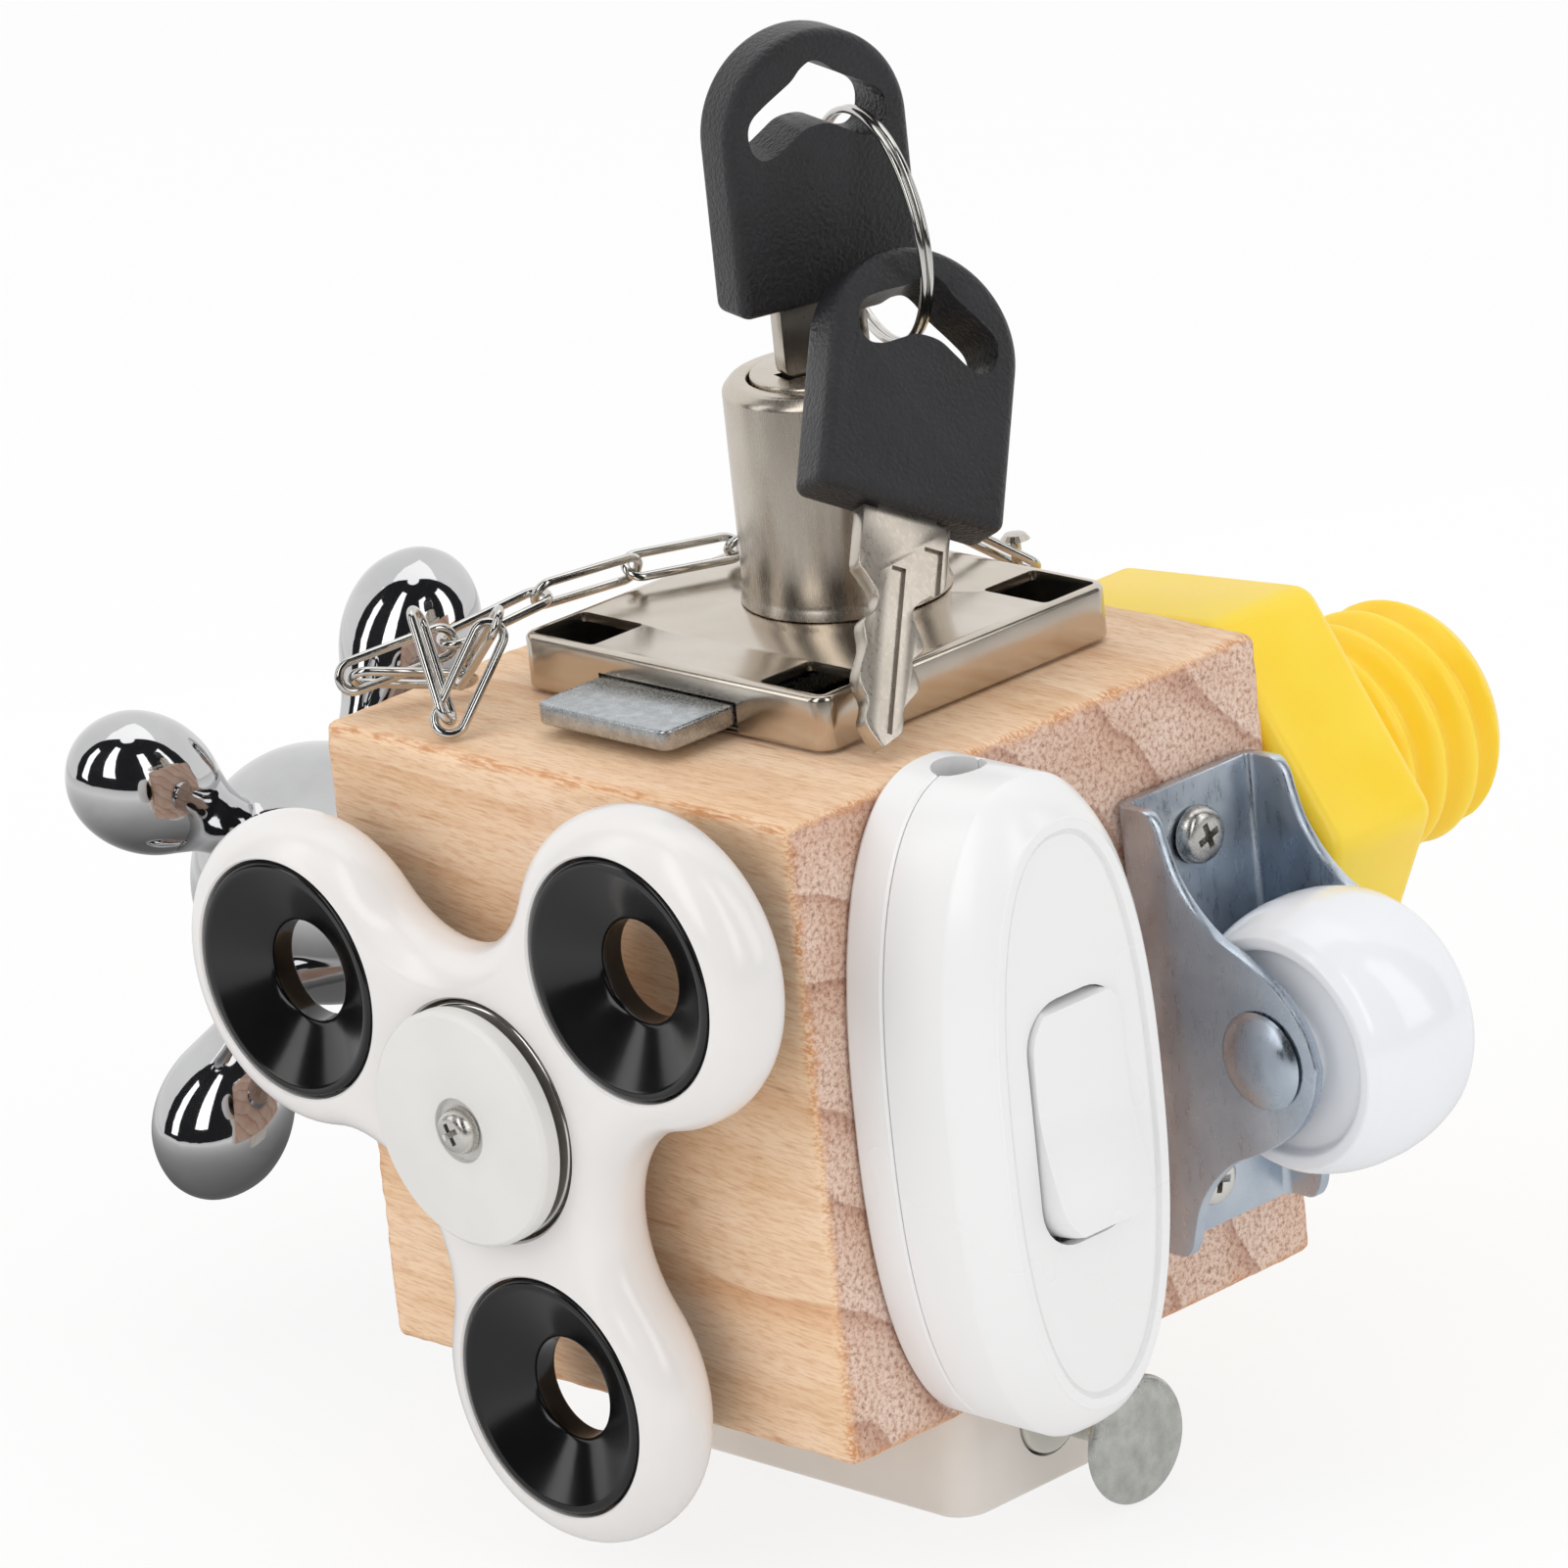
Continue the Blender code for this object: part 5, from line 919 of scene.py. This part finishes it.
rivet = spun(dome + [(1.8, 9.3), (1.8, -9.3)] + mirrored_about_middle(dome), 96)
finished(as_object("castor_rivet", rivet, AXLE), zinc_blue, "cube", "castor_axle", angle=50.0)

# %% [markdown]
# ## The toy bolt
# A thick yellow plastic bolt from a construction set. Its thread is one rounded ridge that winds round
# the shank. A spun cylinder has its points moved in and out along a helix, and its end is rounded off.

# %% Toy bolt
BOLT = on("back", -13.5, 8.3, 0, (0, 0, radians(-4.2)))
levels, low, high, pitch, ridge, core, corner = 220, 7.0, 38.3, 4.3, 0.85, 10.8, 4.2
hexagon_reach, head_height, bore, floor_of_bore, screw_hole = 23.6, 14.3, 5.0, 15.3, 2.3

hexagon = [(hexagon_reach * cos(k * pi / 3), hexagon_reach * sin(k * pi / 3)) for k in range(6)]
bolt = as_object("toy_bolt_hexagon", pressed(hexagon, 0.3, head_height), BOLT)
edge_softening(bolt, 1.7, 6)
shank = [(core, high - (high - low) * k / levels) for k in range(levels + 1)]
thread = spun(shank + [(2.0, low), (2.0, high)], 96)
for vert in thread.verts:
    x, y, z = vert.co
    if hypot(x, y) > 5.0:
        angle = atan2(y, x)
        wave = cos(2 * pi * z / pitch - angle)
        past = max(0.0, z - (high - corner))
        limit = core + ridge - corner + sqrt(max(0.0, corner ** 2 - past ** 2))
        radius = min(core + ridge * (wave * 1.15 - 0.15 * wave ** 2), limit)
        vert.co = (radius * cos(angle), radius * sin(angle), z)
carve(bolt, thread, BOLT, "UNION")
carve(bolt, rod(bore, 50, floor_of_bore, 64), BOLT)
carve(bolt, rod(screw_hole, 50, -5, 48), BOLT)
finished(bolt, bolt_yellow, "toy_bolt", "toy_bolt", angle=45.0)
make_screw("bolt_fixing_screw", "toy_bolt_screw", BOLT @ face(0, 0, 15.6), head=4.0, shank=2.0,
           length=26.0)

# %% [markdown]
# ## The drawer lock
# A pressed pan of bright nickel plate with an open well at each corner for its screw, a turned barrel of
# satin nickel and a flat galvanised bolt that comes out at the front.

# %% Lock case and bolt
LOCK = on("top", 0.2, 3.8, 0)
BARREL = on("top", -0.6, 9.0, 0)
width, depth, top, sheet = 39.0, 37.0, 5.5, 0.9
well_right, well_back, bolt_aside = 14.6, 14.3, -0.4

case = as_object("lock_pan", pressed(rounded_rectangle(width, depth, 1.8), 0.3, top), LOCK)
edge_softening(case, 0.5, 4, 50.0)
carve(case, pressed(rounded_rectangle(width - 2 * sheet, depth - 2 * sheet, 0.9), -4, top - sheet), LOCK)
wells = [(side * well_right, end * well_back) for side in (-1, 1) for end in (-1, 1)]
for x, y in wells:
    carve(case, shift(pressed(rounded_rectangle(8.0, 6.6, 0.6, 4), 0, 12), x, y, 0), LOCK)
carve(case, shift(box(17.6, 6.0, 2.8), bolt_aside, -depth / 2, 2.0), LOCK)
edge_softening(case, 0.22, 3, 60.0)
finished(case, pan_nickel, "cube", "lock_case", angle=40.0)
for k, (x, y) in enumerate(wells):
    make_screw("lock_fixing_screw_%d" % (k + 1), "lock_screw_%d" % (k + 1), LOCK @ face(x, y, 1.2),
               length=6.0, twist=0.7 * k)
length, throw = 32.5, 8.4
deadbolt = pressed(rounded_rectangle(17.0, length, 1.2), 1.2, 3.2)
deadbolt = as_object("lock_bolt", shift(deadbolt, bolt_aside, (length - depth) / 2 - throw, 0), LOCK)
edge_softening(deadbolt, 0.3, 3, 50.0)
finished(deadbolt, zinc_pitted, "deadbolt", "lock_deadbolt")

# %% Barrel and plug
KEY_TURN = radians(75.0)
PLUG_TOP, PLUG_RADIUS, PLUG_FOOT = 26.7, 6.8, 6.1
low, high, bore, radius = 5.8, 26.4, 7.1, 9.4
profile = softened([(bore, high), (8.6, high), (radius, high - 0.9), (radius, low + 1.0), (9.75, low - 0.25),
                    (bore, low - 0.25)], 0.3)
finished(as_object("lock_tube", spun(profile, 128), BARREL), nickel, "cube", "lock_barrel")
profile = softened([(0, PLUG_TOP), (PLUG_RADIUS, PLUG_TOP), (PLUG_RADIUS, PLUG_FOOT), (2.5, PLUG_FOOT),
                    (2.5, 3.5), (0, 3.5)], 0.25)
plug = as_object("lock_cylinder", spun(profile, 96), BARREL)
keyway = moved(box(9.1, 2.5, 34), Matrix.Rotation(KEY_TURN, 4, "Z"))
carve(plug, shift(keyway, 0, 0, 27.4), BARREL)
finished(plug, nickel, "plug", "lock_plug")

# %% [markdown]
# ## The keys
# A key is a blade of nickel silver, milled along both edges, in a moulded black head. The head is a round
# arch over a straight foot, with a shaped hole for the ring. The head's sides have the grain of the mould.
# One half of the hole and the cuts of both edges are points read off the photograph, in shares of the
# head's size and in millimetres above the tip.

# %% Outlines of a key
HEAD_WIDTH, HEAD_HEIGHT, FOOT_CORNER = 18.8, 25.0, 1.1
HEAD_HALF_THICKNESS, HEAD_FOOT, HEAD_EDGE, HEAD_ASIDE = 2.8, 22.5, 1.1, 0.4
BLADE_HALF_THICKNESS, BLADE_LENGTH, KEY_STANDOFF = 0.95, 22.2, 6.3
SHOULDER, TANG = 4.45, 3.0
GROOVES = ((-0.4, 1.4, 1.4, 17.2), (2.9, 1.9, 15.4, 19.8))
HOLE_SHARES = ((0.00, 0.892), (0.064, 0.872), (0.117, 0.836), (0.181, 0.808), (0.277, 0.768), (0.351, 0.728),
               (0.378, 0.676), (0.362, 0.608), (0.309, 0.572), (0.234, 0.580), (0.149, 0.616), (0.074, 0.648),
               (0.00, 0.656))
CUTS_RIGHT = ((-0.4, 0.0), (0.4, 0.8), (1.4, 2.1), (1.4, 4.2), (2.7, 6.6), (1.8, 8.7), (2.8, 10.4),
              (1.6, 12.6), (1.5, 13.8), (2.9, 15.2), (4.2, 15.9))
CUTS_LEFT = ((-4.3, 16.3), (-3.6, 15.7), (-2.5, 14.5), (-2.2, 13.6), (-2.5, 12.5), (-3.4, 11.2), (-3.0, 9.0),
             (-3.4, 6.0), (-2.3, 3.9), (-2.4, 2.0), (-1.4, 0.8), (-0.4, 0.0))

half = HEAD_WIDTH / 2
head_outline = arc((half - FOOT_CORNER, FOOT_CORNER), FOOT_CORNER, -pi / 2, 0, 6)
head_outline += arc((0, HEAD_HEIGHT - half), half, 0, pi, 48)
head_outline += arc((FOOT_CORNER - half, FOOT_CORNER), FOOT_CORNER, pi, 3 * pi / 2, 6)
hole = [(HEAD_WIDTH * x, HEAD_HEIGHT * y) for x, y in HOLE_SHARES]
hole = smoothed(hole + [(-x, y) for x, y in reversed(hole[1:-1])], 5, closed=True)
tang_top = BLADE_LENGTH + 6.0
shoulders = [(SHOULDER, 16.6), (SHOULDER, BLADE_LENGTH), (TANG, BLADE_LENGTH), (TANG, tang_top),
             (-TANG, tang_top), (-TANG, BLADE_LENGTH), (-SHOULDER, BLADE_LENGTH), (-SHOULDER, 16.9)]
blade_outline = smoothed(CUTS_RIGHT, 4) + shoulders + smoothed(CUTS_LEFT, 4)[:-1]
print("a blade has", len(blade_outline), "points, a hole", len(hole))


# %% Keys
def upright(outline, half_thickness):
    return moved(pressed(outline, -half_thickness, half_thickness), Matrix.Rotation(pi / 2, 4, "X"))


def make_key(number, place, body, aside):
    """A key: its tip at the frame's origin, its width along X and its head above, a bit aside."""
    milled = upright(blade_outline, BLADE_HALF_THICKNESS)
    blade = as_object("key_blade_" + number + "_milled", milled, place)
    edge_softening(blade, 0.12, 2, 40.0)
    for side in (1, -1):
        for middle, width, low, high in GROOVES:
            groove = box(width, 0.9, high - low)
            carve(blade, shift(groove, middle, side * BLADE_HALF_THICKNESS, (low + high) / 2), place)
    finished(blade, blade_steel, body, "key_blade_" + number)
    foot = place @ face(aside, 0, HEAD_FOOT)
    head = as_object("key_grip_" + number, upright(head_outline, HEAD_HALF_THICKNESS), foot)
    edge_softening(head, HEAD_EDGE, 6, 50.0)
    carve(head, upright(hole, 8), foot)
    edge_softening(head, 0.3, 3, 60.0)
    finished(head, key_black, body, "key_head_" + number)


# The spare key's tip in the barrel's frame, with its height from the plug's face, its length and its width
SPARE_TIP = (25.5, -21.9, -25.7)
SPARE_UP, SPARE_SIDE = (-0.3445, 0.5672, 0.7481), (0.36, 0.8157, -0.4528)

in_lock = BARREL @ Matrix.Rotation(KEY_TURN, 4, "Z") @ face(0, 0, PLUG_TOP + KEY_STANDOFF - BLADE_LENGTH)
spare_up = Vector(SPARE_UP).normalized()
spare_side = Vector(SPARE_SIDE)
spare_side = (spare_side - spare_up * spare_side.dot(spare_up)).normalized()
spare_turn = Matrix((spare_side, spare_up.cross(spare_side), spare_up)).transposed().to_4x4()
at_tip = BARREL @ face(SPARE_TIP[0], SPARE_TIP[1], PLUG_TOP + SPARE_TIP[2])
make_key("1", in_lock, "key", HEAD_ASIDE)
make_key("2", at_tip @ spare_turn, "spare_key", -HEAD_ASIDE)

# %% [markdown]
# ## The split ring
# Two turns of bright wire. The path climbs by one pitch in each turn, and a round wire is swept along it.
# A small search program started from the photograph, and moved the ring and the spare key in small steps
# until the wire cleared both heads.

# %% Split ring
RING_RIGHT, RING_BACK, RING_RISE = 3.247, 4.914, 12.288
RING_DIP, RING_HEADING = radians(1.8), radians(69.8)
steps, turns, radius, pitch, aside, wire = 96, 2, 10.78, 0.68, -0.12, 0.33
points = []
for k in range(turns * steps - 3):
    angle = pi / 2 + 2 * pi * k / steps
    points.append((radius * cos(angle), radius * sin(angle), aside + pitch * (k / steps - turns / 2)))
lean = (0.0, pi / 2 - RING_DIP, RING_HEADING)
place = BARREL @ face(RING_RIGHT, RING_BACK, PLUG_TOP + RING_RISE, lean)
ring = bent_wire("split_ring", points, wire, False, place, 5)
finished(ring, wire_steel, "ring", "key_ring", angle=60.0)

# %% [markdown]
# ## The chain
# Long oval links of bright wire. Each starts inside the far bow of the one before it and is rolled about
# its own length, so that the wires cross instead of cutting through each other. The angles started from
# points read off the photograph, and a small search program changed them until no two wires touched.

# %% Chain
HEADINGS = (239.5, 202.6, 232.7, 246.4, 258.9, 256.3, 242.7, 57.1, 348.5, 272.6, 154.1)
CLIMBS = (34.9, 8.9, -14.9, 0.9, -0.3, -10.0, -10.4, -10.7, 43.6, -45.4, 49.1)
ROLLS = (26.6, 142.3, 42.3, 147.7, 61.2, 171.5, 99.6, 140.8, 51.5, 143.4, 56.2)
CHAIN_START = (4.0, 28.4, 2.55)
pitch, width, lap, wire = 10.0, 2.8, 1.18, 0.43

straight = (pitch + lap) / 2 - width / 2
bows = arc((straight, 0), width / 2, -pi / 2, pi / 2, 16)
bows += arc((-straight, 0), width / 2, pi / 2, 3 * pi / 2, 16)
loop = [(x, y, 0.0) for x, y in bows]
start = Vector(CHAIN_START)
for k, (heading, climb, roll) in enumerate(zip(HEADINGS, CLIMBS, ROLLS), 1):
    aim = Euler((0, 0, radians(heading))).to_matrix() @ Euler((0, -radians(climb), 0)).to_matrix()
    middle = start + aim @ Vector(((pitch + lap) / 2, 0, 0))
    lie = Matrix.Translation(middle) @ (aim @ Euler((radians(roll), 0, 0)).to_matrix()).to_4x4()
    link = bent_wire("link_%02d" % k, loop, wire, True, on("top") @ lie)
    finished(link, wire_steel, "cube", "chain_link_%02d" % k, angle=60.0)
    start = start + aim @ Vector((pitch, 0, 0))

# %% [markdown]
# ## What stays as packed
# The pieces that lie out of sight, such as the lock's cam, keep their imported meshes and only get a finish.

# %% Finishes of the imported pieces
HIDDEN = {
    "lock_base_plate": nickel, "lock_cam": zinc_blue, "spinner_spacer": cap_white, "tap_stem": nickel,
    "tap_screw": screw_steel, "latch_screw_1": screw_steel, "latch_screw_2": screw_steel, "chain_nail": steel,
}
for name, material in HIDDEN.items():
    nodes[name].data.materials.clear()
    nodes[name].data.materials.append(material)
print("finished as packed:", sorted(HIDDEN))

# %% [markdown]
# ## The studio
# A white floor, white surroundings and large soft lamps, as for a catalogue. The camera and the mirrors
# see plain white, and the floor keeps a faint shadow. Only mirrors see the cards: a dark wall on the side
# where the camera stands, with bright soft boxes before it. They give the chrome its black and white bands.

# %% Floor and surroundings
def sees_white(tree):
    """One for rays from the camera, from mirrors and through glass."""
    path = add(tree, "LightPath").node.outputs
    one = add(tree, "Math", {0: path["Is Camera Ray"], 1: path["Is Glossy Ray"]}, operation="MAXIMUM")
    return add(tree, "Math", {0: one, 1: path["Is Transmission Ray"]}, operation="MAXIMUM")


def show(tree, surface):
    tree.links.new(surface, tree.nodes["Material Output"].inputs["Surface"])


floor = bmesh.new()
bmesh.ops.create_grid(floor, x_segments=1, y_segments=1, size=3.0)
floor = as_it_is("studio_floor", floor)
# Paper that glows a little by itself stays white round the object and still takes its shadow.
paper, tree, _ = finish_of("white_paper", Base_Color=linear("#F4F4F4"), Roughness=0.9)
share = add(tree, "MapRange", {"Value": sees_white(tree), "To Min": 0.35, "To Max": 0.80})
lit = tree.nodes["Principled BSDF"].outputs[0]
show(tree, add(tree, "MixShader", {0: share, 1: lit, 2: add(tree, "Emission", {"Strength": 1.0})}))
floor.data.materials.append(paper)

world = bpy.data.worlds.new("studio")
scene.world = world
world.use_nodes = True
tree = world.node_tree
back = tree.nodes["Background"].inputs
back["Color"].default_value = linear("#FFFFFF")
level = add(tree, "MapRange", {"Value": sees_white(tree), "To Min": 0.84, "To Max": 1.0})
tree.links.new(level, back["Strength"])
print("floor and world ready")


# %% Lamps and cards
def make_lamp(name, place, size, power):
    data = bpy.data.lights.new(name, "AREA")
    data.shape = "SQUARE"
    data.size = size
    data.energy = power
    lamp = bpy.data.objects.new(name, data)
    lamp.location = place
    lamp.rotation_euler = (Vector((0, 0, 0.05)) - Vector(place)).to_track_quat("-Z", "Y").to_euler()
    scene.collection.objects.link(lamp)


def only_mirrors_see(thing, material):
    thing.data.materials.append(material)
    thing.visible_camera = False
    thing.visible_diffuse = False
    thing.visible_shadow = False
    thing.visible_transmission = False


def make_card(name, around, height, distance, tone, glow=0.0):
    """A curved card that only mirrors see. It spans a range of directions and of heights, in degrees."""
    bm = bmesh.new()
    bmesh.ops.create_grid(bm, x_segments=24, y_segments=16, size=0.5)
    for vert in bm.verts:
        turn = radians(around[0] + (around[1] - around[0]) * (vert.co.x + 0.5))
        rise = radians(height[0] + (height[1] - height[0]) * (vert.co.y + 0.5))
        vert.co = Vector((cos(turn) * cos(rise), sin(turn) * cos(rise), sin(rise))) * distance
        vert.co.z += 0.05
    card, _, _ = finish_of(name + "_paper", Base_Color=linear(tone), Roughness=0.9,
                           Emission_Color=linear("#FFFFFF"), Emission_Strength=glow)
    only_mirrors_see(as_it_is(name, bm), card)


# A disc just over the floor that only mirrors see, with a painted shadow of the object, darkest under the tap
# handle.
mat = bmesh.new()
bmesh.ops.create_circle(mat, cap_ends=True, segments=96, radius=0.5)
shift(mat, 0.0, 0.0, 0.0004)
grey, tree, _ = finish_of("floor_painted_shadow")
aside = add(tree, "Mapping", {"Vector": add(tree, "TexCoord", out="Object"), "Location": (0.08, 0.0, 0.0)})
away = add(tree, "VectorMath", {0: aside}, "Value", operation="LENGTH")
tone = add(tree, "ValToRGB", {0: away}, stops=((0.02, "#6C6C6C"), (0.09, "#C4C4C4"), (0.20, "#FAFAFA"),
                                               (0.55, "#D2D2D2")))
show(tree, add(tree, "Emission", {"Color": tone, "Strength": 1.0}))
only_mirrors_see(as_it_is("floor_in_mirrors", mat), grey)

make_lamp("key_lamp", (-0.35, -0.85, 0.75), 0.9, 2.6)
make_lamp("fill_lamp", (0.95, -0.15, 0.45), 0.5, 1.0)
make_lamp("top_lamp", (0.0, 0.15, 1.1), 0.9, 1.5)
make_card("dark_room", (-150.0, 62.0), (-5.7, 82.0), 0.50, "#15161A")
make_card("softbox_left", (-92.0, -70.0), (12.0, 70.0), 0.47, "#F0F0F0", 1.6)
make_card("softbox_right", (-22.0, -4.0), (10.0, 58.0), 0.47, "#F0F0F0", 1.3)
make_card("softbox_side", (24.0, 42.0), (2.0, 52.0), 0.47, "#F0F0F0", 1.0)
make_card("softbox_far_left", (-134.0, -122.0), (0.0, 48.0), 0.47, "#F0F0F0", 1.2)
scene.view_settings.view_transform = "Standard"
print("studio ready")
